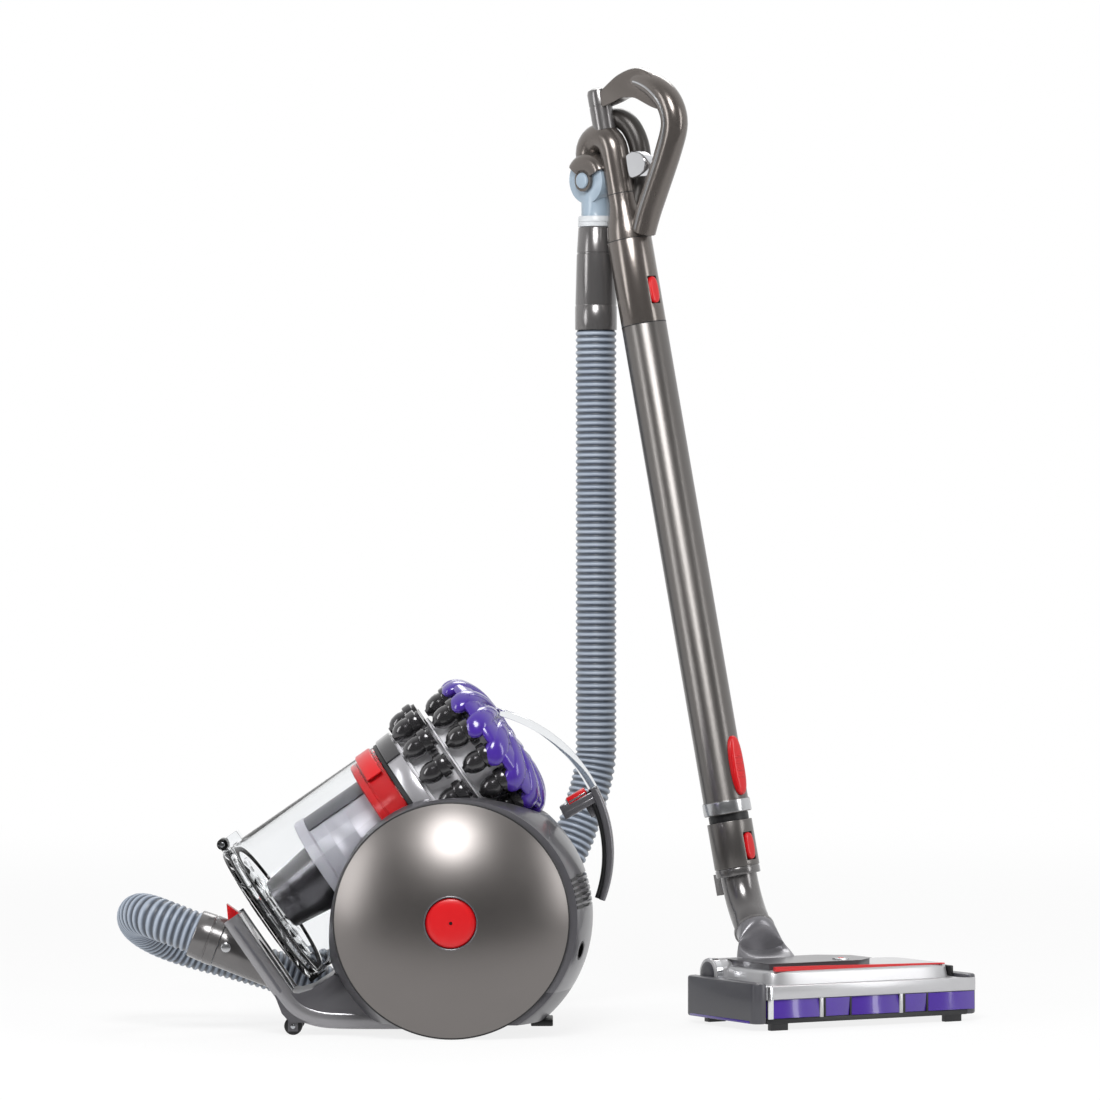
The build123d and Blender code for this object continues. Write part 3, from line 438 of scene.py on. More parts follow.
# Works inside the ball: motor in its rubber mount, fan, cord reel, filters, axles and bearings.
# They are pressed and cast parts, seen only when the ball is opened or the bin is lifted.
motor_metal = moulded("motor_metal", "#8d8f94", 0.34, metal=0.9, bump=0.05)
mount_rubber = moulded("mount_rubber", "#1b1b1d", 0.7, bump=0.08)
filter_felt = moulded("filter_felt", "#e4e2db", 0.95, bump=0.5, grain=2600.0)
axle_steel = moulded("axle_steel", "#b6b8bc", 0.22, metal=1.0)
fan_nylon = moulded("fan_nylon", "#34363b", 0.5)
reel_nylon = moulded("reel_nylon", "#2b2b2e", 0.55)
for node, material in (("motor", motor_metal), ("wheel_bearings", axle_steel), ("wheel_axles", axle_steel),
                       ("motor_mount", mount_rubber), ("impeller", fan_nylon), ("cord_reel", reel_nylon),
                       ("exhaust_filter", filter_felt), ("pre_filter", filter_felt)):
    dress(node, material)


# Ball wheels: two shallow domes of painted ABS that turn on the stub axles, with a thin black tyre
# bead at the rim. A grey ring and a red cap close each hub; a black disc in the cap's centre hole is
# painted shade.
def placed(origin, x_dir, z_dir):
    # Millimetre workplane at a machine point, with its own X and Z directions
    z_axis = Vector(z_dir).normalized()
    x_axis = Vector(x_dir)
    x_axis = (x_axis - z_axis * x_axis.dot(z_axis)).normalized()
    turn = Matrix((x_axis, z_axis.cross(x_axis), z_axis)).transposed().to_4x4()
    return Matrix.Translation(machine_point(*origin)) @ turn @ Matrix.Scale(0.001, 4)


def added(name):
    # The object that was just added, with its name on its mesh too
    piece = bpy.context.object
    piece.name = piece.data.name = name
    return piece


def drawn(name, outline):
    # A line through (radius, height) points, in edit mode: a plane merged to one vertex, then extruded
    bpy.ops.mesh.primitive_plane_add(size=1)
    piece = added(name)
    bpy.ops.object.mode_set(mode="EDIT")
    bpy.ops.mesh.select_mode(type="VERT")
    select_mesh()
    bpy.ops.mesh.merge(type="CENTER")
    select_mesh()
    points = [(radius, 0, height) for radius, height in outline]
    bpy.ops.transform.translate(value=points[0])
    for before, after in zip(points, points[1:]):
        way = [b - a for a, b in zip(before, after)]
        bpy.ops.mesh.extrude_region_move(TRANSFORM_OT_translate={"value": way})
    select_mesh()
    return piece


def settle(piece, place, edge=0.0):
    # Rounds the edges, moves the piece into the row frame and leaves its object at the origin
    bpy.ops.object.mode_set(mode="OBJECT")
    if edge:
        round_edges(piece, edge, 35)
    piece.matrix_world = place
    bpy.ops.object.transform_apply(location=True, rotation=True, scale=True)
    bpy.ops.object.shade_smooth_by_angle(angle=math.radians(38))
    return piece


def turned(name, outline, place, steps=72):
    # Outline of (radius, height) spun round the workplane's Z
    piece = drawn(name, [*outline, outline[0]])
    bpy.ops.mesh.spin(steps=steps, angle=2 * math.pi, center=(0, 0, 0), axis=(0, 0, 1))
    select_mesh()
    bpy.ops.mesh.remove_doubles(threshold=0.01)
    bpy.ops.mesh.dissolve_degenerate(threshold=0.001)
    bpy.ops.mesh.normals_make_consistent(inside=False)
    return settle(piece, place)


BALL_CENTRE = (0, 0, 117)
DOME_RADIUS = 199.12
DOME_CENTRE = -69.12
RIM_RADIUS = 116.9
HUB_SEAT = 25.4


def dome_line(radius, low, high, count):
    # (distance from the axle, height) points on a dome of this radius
    outs = [low + (high - low) * i / count for i in range(count + 1)]
    return [(out, DOME_CENTRE + math.sqrt(radius**2 - out**2)) for out in outs]


dome_outline = dome_line(DOME_RADIUS, HUB_SEAT, RIM_RADIUS - 1.6, 30)
dome_outline += [(RIM_RADIUS - 0.5, 92.5), (RIM_RADIUS - 0.4, 92.2), (RIM_RADIUS - 3.0, 92.2)]
dome_outline += dome_line(DOME_RADIUS - 3.0, RIM_RADIUS - 6.0, HUB_SEAT + 8, 12)
dome_outline += [(HUB_SEAT + 7, 119.5), (16, 119.5), (16, 123.6), (HUB_SEAT, 123.6)]
cap_outline = [(1.7, 128.6), (10, 128.5), (18, 127.9), (22.4, 127.1), (24.2, 126.2), (25, 124.9),
               (25, 124.2), (1.7, 124.2)]
ring_outline = [(25.05, 126.2), (25.3, 128.2), (26.0, 128.6), (26.8, 128.3), (26.6, 127.2), (25.6, 125.8)]
bead_outline = [(RIM_RADIUS - 2.4, 93.2), (RIM_RADIUS - 1.1, 93.3), (RIM_RADIUS - 0.1, 92.6),
                (RIM_RADIUS - 0.1, 92.0), (RIM_RADIUS - 3.4, 92.0)]
# Painted shade: a black disc set just under the top of the cap's centre hole stands in for the shade of the
# screw hole.
hole_shade_outline = [(0, 128.0), (1.2, 128.0), (1.65, 127.6), (1.65, 125.0), (0, 125.0)]
ball_paint = moulded("ball_paint", "#7a7674", 0.34, metal=0.9, drift=0.05, bump=0.01)
bright_red = moulded("bright_red", "#c4040e", 0.32, coat=0.2, drift=0.06)
silver_trim = moulded("silver_trim", "#b9babc", 0.24, metal=0.9, drift=0.05)
WHEEL_PIECES = (
    ("wheel_dome_", dome_outline, 128, ball_paint, "ball_grey", ["ball_wheel_"]),
    ("tyre_bead_", bead_outline, 128, black_and_painted_shade, "rubber_black", []),
    ("hub_button_", cap_outline, 72, bright_red, "red_plastic", ["hub_cap_"]),
    ("hub_ring_", ring_outline, 72, housing_grey, "chrome_trim", []),
    ("hub_hole_shade_", hole_shade_outline, 24, black_and_painted_shade, "black_plastic", []),
)
for side, outward in (("near", -1), ("far", 1)):
    hub_place = placed(BALL_CENTRE, (1, 0, 0), (0, outward, 0))
    for name, outline, steps, material, slot, stands_for in WHEEL_PIECES:
        fit(turned(name + side, outline, hub_place, steps), side + "_wheel", material, slot,
            *[node + side for node in stands_for])
softened("front_wheels", black_and_painted_shade, "rubber_black", edge=0.0004)
softened("front_axle", axle_steel, "rubber_black", edge=0.0004)


# Bin: a clear polycarbonate cylinder, leaning back on the cradle, with hinge ears moulded on its lower rim.
# The wall is thin and polished, and a thicker bead stiffens the rim.
def milled(name, low, high, place, edge):
    # A block between two corners, with its edges rounded
    middle = [(a + b) / 2 for a, b in zip(low, high)]
    bpy.ops.mesh.primitive_cube_add(size=1, location=middle)
    piece = added(name)
    piece.scale = [b - a for a, b in zip(low, high)]
    bpy.ops.object.transform_apply(location=True, rotation=True, scale=True)
    return settle(piece, place, edge)


def joined(name, parts):
    # The parts as one piece
    bpy.ops.object.select_all(action="DESELECT")
    for part in parts:
        part.select_set(True)
    bpy.context.view_layer.objects.active = parts[0]
    bpy.ops.object.join()
    return added(name)


def clear_material(name, colour, rough, ior):
    # Clear plastic: the moulded finish, let through
    material = moulded(name, colour, rough, drift=0.02, bump=0.006, grain=220.0)
    shader = material.node_tree.nodes["Principled BSDF"]
    shader.inputs["Transmission Weight"].default_value = 1.0
    shader.inputs["IOR"].default_value = ior
    return material


BIN_ACROSS = (-0.570714, 0, 0.821149)
BIN_ALONG = (0.821149, 0, 0.570714)
bin_place = placed((-177.5, 0, 123), BIN_ACROSS, BIN_ALONG)
clear_plastic = clear_material("clear_plastic", "#fbfcfd", 0.03, 1.15)
wall_outline = [(77, 1.5), (77.6, 2.2), (77.6, 6.0), (77, 7.0), (77, 170.5), (76.6, 172), (74.9, 172),
                (74.5, 171.5), (74.5, 0.6), (75, 0), (76.4, 0)]
wall = turned("bin_wall", wall_outline, bin_place, steps=112)
ears = [milled("ear", (75.6, y, -9.6), (86.6, y + 5.6, 13.5), bin_place, 0.9) for y in (-19.8, 14.2)]
fit(joined("bin_wall", [wall, *ears]), "bin", clear_plastic, "clear_plastic", "clear_bin")


# Bin flap: the clear moulded base that drops open on a black hinge barrel, stiffened by radial ribs.
# A black rubber ring seals it, and a dark latch holds its lower edge.
def around(place, count, first=0.0, move=(0, 0, 0)):
    # The place turned by even steps round its Z, and then moved in its own directions
    turns = [first + 2 * math.pi * step / count for step in range(count)]
    return [place @ Matrix.Rotation(turn, 4, "Z") @ Matrix.Translation(move) for turn in turns]


def repeated(model, names, places):
    # Copies of a model, which stands at the first place, at the other places
    back = places[0].inverted()
    copies = []
    for name, place in zip(names[1:], places[1:]):
        copies.append(bpy.data.objects.new(name, model.data.copy()))
        copies[-1].data.name = name
        copies[-1].data.transform(place @ back)
        bpy.context.scene.collection.objects.link(copies[-1])
    return copies


flap_outline = [(0.01, -8.5), (30, -8.5), (52, -9.5), (63, -12.4), (70, -12.9), (75, -12.0), (77, -9.5),
                (77, -1.2), (76.2, -0.5), (70.5, -0.5), (69.5, -2), (69, -5.4), (58, -5.0), (30, -4.2),
                (0.01, -4.2)]
flap_rib = milled("flap_rib", (24, -0.9, -4.6), (68, 0.9, -1.6), bin_place, 0.4)
FLAP_RIBS = 12
flap_parts = [turned("bin_base", flap_outline, bin_place, steps=96), flap_rib]
flap_parts += repeated(flap_rib, ["flap_rib"] * FLAP_RIBS, around(bin_place, FLAP_RIBS))
flap_parts.append(milled("flap_arm", (70, -12.8, -8.6), (81, 12.8, -3.4), bin_place, 0.8))
fit(joined("bin_base", flap_parts), "flap", clear_plastic, "clear_plastic", "bin_flap")
hinge_place = placed((0, 0, 0), (1, 0, 0), (0, 1, 0))
hinge_place.translation = bin_place @ Vector((83, 0, -6))
barrel = [(2.56, -13.4), (5.2, -13.4), (5.6, -12.9), (5.6, 12.9), (5.2, 13.4), (2.56, 13.4)]
fit(turned("hinge_barrel", barrel, hinge_place, steps=32), "flap", black_and_painted_shade, "black_plastic")
seal = [(68.2, -0.3), (73.4, -0.3), (73.6, 1.2), (73.2, 2.4), (68.6, 2.4), (68.2, 1.6)]
fit(turned("base_seal", seal, bin_place, steps=96), "flap", mount_rubber, "rubber_black", "flap_seal")
seat = [(62.5, -9.0), (66.5, -7.2), (66.5, -5.9), (62, -5.9)]
fit(turned("base_seat_ring", seat, bin_place, steps=96), "flap", black_and_painted_shade, "black_plastic")
latch = [milled("latch", (-80.2, -9, -12.5), (-75.6, 9, -2.2), bin_place, 1.0),
         milled("latch_tongue", (-79.6, -5, -3.6), (-78.2, 5, 6), bin_place, 0.6)]
fit(joined("base_latch", latch), "flap", black_and_painted_shade, "black_plastic")
softened("flap_hinge_pin", axle_steel, "motor_metal", edge=0.0003)


# Inside the bin: the pale ribbed shroud with a dark vane on its upper side, and the tapered dust tube.
# Both are moulded in ABS; the tube is finished in dark metallic grey.
def sector(name, outline, place, first, sweep, steps, edge=0.0):
    # Outline of (radius, height) spun part of the way round, with closed ends
    piece = drawn(name, outline)
    bpy.ops.mesh.edge_face_add()
    bpy.ops.transform.rotate(value=-first, orient_axis="Z", center_override=(0, 0, 0))
    select_mesh()
    bpy.ops.mesh.spin(steps=steps, angle=-sweep, center=(0, 0, 0), axis=(0, 0, 1))
    select_mesh()
    bpy.ops.mesh.remove_doubles(threshold=0.001)
    bpy.ops.mesh.normals_make_consistent(inside=False)
    return settle(piece, place, edge)


shroud_grey = moulded("shroud_grey", "#bdbcc4", 0.38, metal=0.15)
vane_grey = moulded("vane_grey", "#5b5b60", 0.34, metal=0.3)
tube_grey = moulded("tube_grey", "#57565a", 0.24, metal=0.7, coat=0.2)
shroud_outline = [(52.2, 62), (55, 60.8), (58.6, 61.5), (59.4, 63.5), (58.8, 72), (56, 74), (56, 88),
                  (56.4, 88.6), (56.4, 90.4), (56, 91), (56, 112), (56.4, 112.6), (56.4, 114.4), (56, 115),
                  (56, 149.5), (53, 149.5), (53, 66), (52.2, 66)]
fit(turned("shroud_skin", shroud_outline, bin_place, steps=96), "bin", shroud_grey, "shroud_grey", "shroud")
vane_outline = [(55.5, 66), (57.6, 64.5), (58, 66), (58, 138), (57.4, 140), (55.5, 140)]
vane = sector("shroud_vane", vane_outline, bin_place, math.radians(-38), math.radians(76), 20)
fit(vane, "bin", vane_grey, "charcoal")
tube_outline = [(22.6, 4.4), (24.5, 3.8), (26.4, 4.6), (27, 6.5), (36, 71), (36.4, 73.5), (36, 76),
                (36, 149.8), (33, 149.8), (33, 73), (23.4, 6)]
fit(turned("dust_funnel", tube_outline, bin_place, steps=80), "bin", tube_grey, "tube_grey", "dust_tube")

# Exhaust slots: six openings across the rear cover, with a black liner behind them inside the wall that
# paints the shade within them. They run on round the shoulder of the cover as thin dark strips of painted
# shade.
ball_axis = placed((5, 0, 117), (1, 0, 0), (0, -1, 0))
CROWN, SHOULDER, HALF_BAND = 135, 119, 90
SLOT_RADIUS = 130


def housing_line(inset, first, last, count):
    # (radius, height) points across the crowned band of the housing
    bow = (CROWN ** 2 - SHOULDER ** 2 - HALF_BAND ** 2) / (2 * (CROWN - SHOULDER))
    heights = [first + (last - first) * i / count for i in range(count + 1)]
    return [(bow + math.sqrt((CROWN - bow) ** 2 - h * h) - inset, h) for h in heights]


def slot_shade_strip(name, low_z, high_z, first, last, outer, inner):
    # A dark strip across the band, between two heights at the rear, that paints the shade of a slot
    low, high = [math.asin((z - BALL_CENTRE[2]) / SLOT_RADIUS) for z in (low_z, high_z)]
    outline = housing_line(outer, first, last, 12) + housing_line(inner, first, last, 12)[::-1]
    return sector(name, outline, ball_axis, low, high - low, 6)


SLOT_COUNT, SLOT_PITCH = 6, 5.8
slot_shade_parts = [slot_shade_strip("slot_shade_liner", 126, 165, -74, 74, 3.4, 4.6)]
for step in range(SLOT_COUNT):
    slot_z = 129.0 + step * SLOT_PITCH
    for first, last in ((69.5, 89.4), (-89.4, -69.5)):
        slot_shade_parts.append(slot_shade_strip("slot_shade_band", slot_z, slot_z + 3.4, first, last, -0.5, 1.2))
fit(joined("exhaust_slot_shade", slot_shade_parts), "chassis", black_and_painted_shade, "black_plastic")

# Bin collar: the red ring that closes the top of the bin inside the clear wall, with a red catch over it,
# then the black rubber seal and the grey skirt of the cyclone pack with its dark top cover.
collar_outline = [(31, 150.4), (50, 150.4), (50.4, 141.4), (72.6, 141.4), (73.8, 142.6), (73.8, 149),
                  (72.8, 149.6), (72.8, 150.8), (73.9, 151.6), (73.9, 171), (73.2, 171.8), (50.4, 171.8),
                  (50.4, 155.6), (31, 155.6)]
fit(turned("red_collar", collar_outline, bin_place, steps=96), "bin", bright_red, "red_plastic",
    "bin_collar")
catch_outline = [(76.2, 151.5), (78.2, 151.5), (78.9, 152.6), (78.9, 167), (78.2, 168), (76.2, 168)]
catch = sector("bin_catch", catch_outline, bin_place, math.radians(-47), math.radians(94), 28)
fit(catch, "bin", bright_red, "red_plastic")
seal = [(46.2, 172.1), (76.6, 172.1), (77.6, 172.9), (77.6, 176), (76.8, 176.8), (60, 177), (60, 184.8),
        (46.2, 184.8)]
fit(turned("black_seal", seal, bin_place, steps=96), "bin", black_and_painted_shade, "rubber_black", "bin_seal")
skirt_grey = moulded("skirt_grey", "#a7a6aa", 0.24, metal=0.45, coat=0.3)
gunmetal = moulded("gunmetal", "#39383a", 0.18, metal=0.55, coat=0.7, drift=0.06)
skirt_outline = [(60.4, 177.1), (76.8, 177.1), (77.4, 178), (78.3, 192.6), (77.8, 193.6), (61, 193.6)]
fit(turned("pack_skirt", skirt_outline, bin_place, steps=96), "bin", skirt_grey, "silver_plastic")
cover_outline = [(76.9, 176.9), (79.2, 176.9), (79.8, 178), (80.6, 192), (80, 193.3), (77.8, 193.3)]
cover = sector("skirt_cover", cover_outline, bin_place, math.radians(-44), math.radians(88), 26)
fit(cover, "bin", gunmetal, "charcoal")


# Cyclone pack: a pale core with two rings of fourteen dark, glossy cups, each fed by a scroll from it.
# The cups are moulded in gunmetal ABS and clipped between the core and the crown.
def moved(place, move, turn=0, axis="Z"):
    # The place moved in its own directions, then turned by degrees about one of its axes
    return place @ Matrix.Translation(move) @ Matrix.Rotation(math.radians(turn), 4, axis)


pack_place = moved(bin_place, (8, 0, 0))
core_grey = moulded("core_grey", "#dcdbdf", 0.36)
core_outline = [(41, 193.7), (66, 193.7), (66.5, 195), (66, 196.4), (60, 197), (55, 214), (54.6, 228),
                (58, 231.4), (62, 232), (62, 233.6), (56, 234.4), (54.6, 240), (54.6, 260), (60, 267),
                (60, 270.9), (41, 270.9)]
fit(turned("cyclone_core", core_outline, pack_place, steps=84), "bin", core_grey, "pale_grey",
    "cyclone_body")
cup_outline = [(0.01, 0.4), (3.4, 0.4), (4.2, 2.2), (7.4, 4.4), (9.8, 8.5), (10.9, 13.5), (11, 17),
               (10.2, 20), (10.4, 21.6), (12.4, 22.6), (12.8, 24), (12.8, 29.4), (12.2, 31), (9.8, 32),
               (9.6, 35), (0.01, 35)]
CUP_COUNT = 14
CUP_TIERS = (("low", 195.0, 72.0, 0.0), ("high", 235.5, 68.0, math.pi / CUP_COUNT))
cup_names, cup_places = [], []
for tier, height, reach_out, first in CUP_TIERS:
    cup_names += [f"cup_{tier}_{step + 1:02d}" for step in range(CUP_COUNT)]
    cup_places += around(pack_place, CUP_COUNT, first, (reach_out, 0, height))
cup = turned(cup_names[0], cup_outline, cup_places[0], steps=28)
scroll = milled("scroll", (-15, 2.5, 21.5), (2, 12.6, 31.2), cup_places[0], 3.2)
cup_model = fit(joined(cup_names[0], [cup, scroll]), "bin", gunmetal, "cone_grey", "cyclone_cones")
for cup in repeated(cup_model, cup_names, cup_places):
    fit(cup, "bin", gunmetal, "cone_grey")


# Crown: the purple lid over the cyclones, with fourteen swirled ducts that fold down over its rim.
# It is one glossy ABS moulding, clipped to the core, and the carry handle starts from it.
def pill(half_wide, half_thick, square=4.0, count=28):
    # Rounded rectangle as (across, up) pairs
    corners = []
    for i in range(count):
        c, s = math.cos(2 * math.pi * i / count), math.sin(2 * math.pi * i / count)
        corners.append((math.copysign(abs(c) ** (2 / square), c) * half_wide,
                        math.copysign(abs(s) ** (2 / square), s) * half_thick))
    return corners


def outlines_along(path, across, shapes):
    # One outline at each point of the path; shapes holds one (across, up) list per point
    rows = []
    for i, point in enumerate(path):
        along = (path[min(i + 1, len(path) - 1)] - path[max(i - 1, 0)]).normalized()
        side = Vector(across[i] if isinstance(across, list) else across)
        side = (side - along * side.dot(along)).normalized()
        up = along.cross(side)
        rows.append([point + side * u + up * v for u, v in shapes[i]])
    return rows


def swept(name, rows, place):
    # A closed outline extruded from row to row
    bpy.ops.mesh.primitive_circle_add(vertices=len(rows[0]), radius=1, fill_type="NGON")
    piece = added(name)
    for vertex, point in zip(piece.data.vertices, rows[0]):
        vertex.co = point
    bpy.ops.object.mode_set(mode="EDIT")
    select_mesh()
    for before, after in zip(rows, rows[1:]):
        bpy.ops.mesh.extrude_region_move(TRANSFORM_OT_translate={"value": (0, 0, 0)})
        bpy.ops.object.mode_set(mode="OBJECT")
        for vertex in [v for v in piece.data.vertices if v.select]:
            index = min(range(len(before)), key=lambda i: (before[i] - vertex.co).length_squared)
            vertex.co = after[index]
        bpy.ops.object.mode_set(mode="EDIT")
    select_mesh()
    bpy.ops.mesh.normals_make_consistent(inside=False)
    return settle(piece, place)


def tube(name, path, shapes, place, across=(0, 1, 0)):
    # Outlines swept along a path: one for each of its points, or one alone for all of them
    if isinstance(shapes[0], tuple):
        shapes = [shapes] * len(path)
    return swept(name, outlines_along(path, across, shapes), place)


def smooth_line(points, steps):
    # A smooth line through the points, with steps points to each stretch
    line = []
    for i in range(len(points) - 1):
        before, start = points[max(i - 1, 0)], points[i]
        end, after = points[i + 1], points[min(i + 2, len(points) - 1)]
        for k in range(steps):
            t = k / steps
            line.append([0.5 * (2 * s + (e - b) * t + (2 * b - 5 * s + 4 * e - a) * t * t
                                + (3 * s - b - 3 * e + a) * t ** 3)
                         for b, s, e, a in zip(before, start, end, after)])
    line.append(list(points[-1]))
    return line


purple = moulded("crown_purple", "#3f258a", 0.22, coat=0.55, drift=0.12)
crown_outline = [(60.6, 271.1), (76, 271.1), (78, 272.4), (78.4, 275.5), (76, 280), (66, 286.5),
                 (52, 290.5), (30, 292.5), (0.01, 293), (0.01, 283), (58, 280.2), (60.6, 279.6)]
fit(turned("crown_lid", crown_outline, pack_place, steps=112), "bin", purple, "purple_plastic", "crown")
DUCT_COUNT = 14
# One duct: distance from the axis, turn, height, half breadth and half thickness
duct_line = smooth_line([(20, -26, 292, 3.2, 2.4), (36, -12, 291.6, 5.4, 4.2), (50, 0, 288.6, 8.2, 5.8),
                         (62, 8, 283.6, 10.4, 6.8), (70.5, 13, 277.4, 11.6, 7.2),
                         (74.5, 16, 270.4, 11.4, 7), (75.5, 17, 264.4, 10, 5.6),
                         (75, 17.5, 260.6, 6.4, 3.2)], 3)
duct_path, duct_across, duct_shapes = [], [], []
for out, degrees, height, breadth, thick in duct_line:
    turn = math.radians(degrees)
    duct_path.append(Vector((out * math.cos(turn), out * math.sin(turn), height)))
    duct_across.append((-math.sin(turn), math.cos(turn), 0))
    duct_shapes.append(pill(breadth, thick, 2.3, 22))
duct_names = [f"crown_duct_{step + 1:02d}" for step in range(DUCT_COUNT)]
duct_places = around(pack_place, DUCT_COUNT)
duct_model = tube(duct_names[0], duct_path, duct_shapes, duct_places[0], duct_across)
for duct in [duct_model, *repeated(duct_model, duct_names, duct_places)]:
    fit(duct, "bin", purple, "purple_plastic")


# Carry handle: a clear polycarbonate strap from the crown over to the rear, where it runs into a grey limb
# with a black inner edge. A spoke under it holds the two red keys, and all of it lifts off with the bin.
def arc_line(start, through, end, count):
    # Points on the arc through three points of the machine's middle plane
    (ax, az), (bx, bz), (cx, cz) = start, through, end
    d = 2 * (ax * (bz - cz) + bx * (cz - az) + cx * (az - bz))
    a2, b2, c2 = ax * ax + az * az, bx * bx + bz * bz, cx * cx + cz * cz
    ox = (a2 * (bz - cz) + b2 * (cz - az) + c2 * (az - bz)) / d
    oz = (a2 * (cx - bx) + b2 * (ax - cx) + c2 * (bx - ax)) / d
    radius = math.hypot(ax - ox, az - oz)
    first = math.atan2(az - oz, ax - ox)
    sweep = (math.atan2(cz - oz, cx - ox) - first + math.pi) % (2 * math.pi) - math.pi
    turns = [first + sweep * i / count for i in range(count + 1)]
    return [Vector((ox + radius * math.cos(t), 0, oz + radius * math.sin(t))) for t in turns]


machine_place = placed((0, 0, 0), (1, 0, 0), (0, 0, 1))
strap_clear = clear_material("strap_clear", "#eef0f2", 0.10, 1.18)
STRAP_STEPS, LIMB_STEPS = 26, 24
strap_path = arc_line((40, 321), (107, 287), (141, 241), STRAP_STEPS)
strap_shapes = [pill(11.6, 3.6 + 1.2 * i / STRAP_STEPS) for i in range(STRAP_STEPS + 1)]
fit(tube("carry_strap", strap_path, strap_shapes, machine_place), "bin", strap_clear, "clear_plastic",
    "carry_handle")
limb_grey = moulded("limb_grey", "#6f6e72", 0.24, metal=0.6, coat=0.3)
limb_path = arc_line((139.5, 244), (156, 190), (149, 132), LIMB_STEPS)
limb_shapes = [pill(11.8, 4.9 * (1 - 0.30 * (i / LIMB_STEPS) ** 3), 3.2) for i in range(LIMB_STEPS + 1)]
fit(tube("handle_limb", limb_path, limb_shapes, machine_place), "bin", limb_grey, "silver_plastic")
edge_path = arc_line((134.5, 240), (150.6, 190), (144.2, 134), LIMB_STEPS)
fit(tube("limb_edge", edge_path, pill(9.5, 2.3), machine_place), "bin", black_and_painted_shade, "black_plastic")
fit(milled("strap_root", (30, -11.4, 305), (47, 11.4, 324), machine_place, 3.0), "bin", purple,
    "purple_plastic")

# Spoke and keys: a dark bracket across the handle, with a red key that frees the bin and one for power.
# The keys are moulded in red ABS, slide in the bracket, and have a silver bar let into their sides.
spoke_place = placed((126, 0, 231.5), (0.862, 0, 0.507), (-0.507, 0, 0.862))
spoke_parts = [milled("spoke", (-21, -9.8, -10), (19, 9.8, -3.8), spoke_place, 1.2)]
for y in (-9.9, 7.8):
    spoke_parts.append(milled("spoke_rail", (-20.5, y, -4.4), (17, y + 2.1, 1.4), spoke_place, 0.8))
spoke_parts.append(milled("spoke_end", (-20.5, -9.8, -4.4), (-11.4, 9.8, 4.6), spoke_place, 1.4))
spoke_parts.append(milled("spoke_web", (2, -3, -22), (20, 3, -8), spoke_place, 1.5))
fit(joined("handle_spoke", spoke_parts), "bin", limb_grey, "charcoal")
for key, y, body in (("bin_release_button", 3.8, "release_key"), ("power_button", -3.8, "power_key")):
    cap = milled(key + "_cap", (-10.5, y - 3.3, -1), (10.5, y + 3.3, 8.5), spoke_place, 1.1)
    fit(cap, body, bright_red, "red_plastic", key)
    side = y + math.copysign(3.4, y)
    fit(milled(key + "_bar", (-9.2, side - 0.3, 2.6), (9.2, side + 0.3, 4.4), spoke_place, 0.2), body,
        silver_trim, "chrome_trim")

# Front cradle, inlet elbow, red catch and hose cuff: the rails that carry the bin, and the duct from the
# hose. Both are grey ABS with a metallic finish; the cuff turns on the duct, and the catch frees it.
rail_grey = moulded("rail_grey", "#8c8b8e", 0.24, metal=0.55, coat=0.35)
duct_grey = moulded("duct_grey", "#6c6a6a", 0.24, metal=0.6, coat=0.35)
softened("front_cradle", rail_grey, "silver_plastic", edge=0.0042)
softened("inlet_elbow", duct_grey, "charcoal", edge=0.0008)
softened("hose_release_catch", bright_red, "red_plastic", edge=0.0012)
inlet_place = placed((-233, 0, 89), (0, 1, 0), (-0.9304, 0, 0.3665))
cuff_outline = [(21.8, 0.5), (24.4, 0.5), (25, 1.1), (25, 10.4), (24.4, 11), (24.4, 12), (24.9, 12.6),
                (24.2, 25.6), (23.4, 26.8), (21.8, 26.8)]
fit(turned("front_cuff", cuff_outline, inlet_place, steps=64), "front_cuff", duct_grey, "charcoal",
    "hose_cuff_front")
boss_place = moved(inlet_place, (-24.2, 0, -8), -90, "Y")
boss_outline = [(0.01, 4.4), (3.2, 4.4), (4.8, 3.6), (5.4, 2), (5.4, -2), (0.01, -2)]
fit(turned("inlet_boss", boss_outline, boss_place, steps=40), "chassis", silver_trim, "chrome_trim")
rail_line = smooth_line([(-219.5, 116), (-204, 93.5), (-185, 66.5), (-168, 42), (-155, 27), (-138, 18.8),
                         (-112, 15.4), (-40, 15)], 5)
rails = []
for y in (-42.4, 42.4):
    rail_path = [Vector((x, y, z)) for x, z in rail_line]
    rails.append(tube("rail", rail_path, pill(4.6, 8.8, 2.6, 24), machine_place))
fit(joined("cradle_rails", rails), "chassis", rail_grey, "silver_plastic")
# Painted shade: thin dark strips on the outer faces of the cradle rails.
rail_shade_strips = [milled("rail_side_shade", (-70, y, -40.6), (10, y + 1.2, -37.6), bin_place, 0.4)
               for y in (-47.2, 46.0)]
fit(joined("rail_side_shades", rail_shade_strips), "chassis", vane_grey, "charcoal")

# Top hose cuff: a straight grey sleeve in three lengths, with a pale swivel ring on top.
# It is moulded ABS with a metallic finish, and the hose is pushed into its lower end.
riser_place = placed((145.3, 266.3, 0), (1, 0, 0), (0, 0, 1))
top_cuff_outline = [(17.6, 712.3), (21.6, 712.3), (22, 713), (22, 736.8), (21.4, 737.6), (21.4, 738.6),
                    (21.7, 739.2), (20.3, 791.6), (19.6, 792.3), (19.6, 793.3), (20.1, 793.9),
                    (18.6, 819.2), (18.2, 819.8), (14.2, 819.8), (16.6, 738)]
fit(turned("top_cuff", top_cuff_outline, riser_place, steps=72), "hose_end", duct_grey, "charcoal",
    "hose_cuff_top")


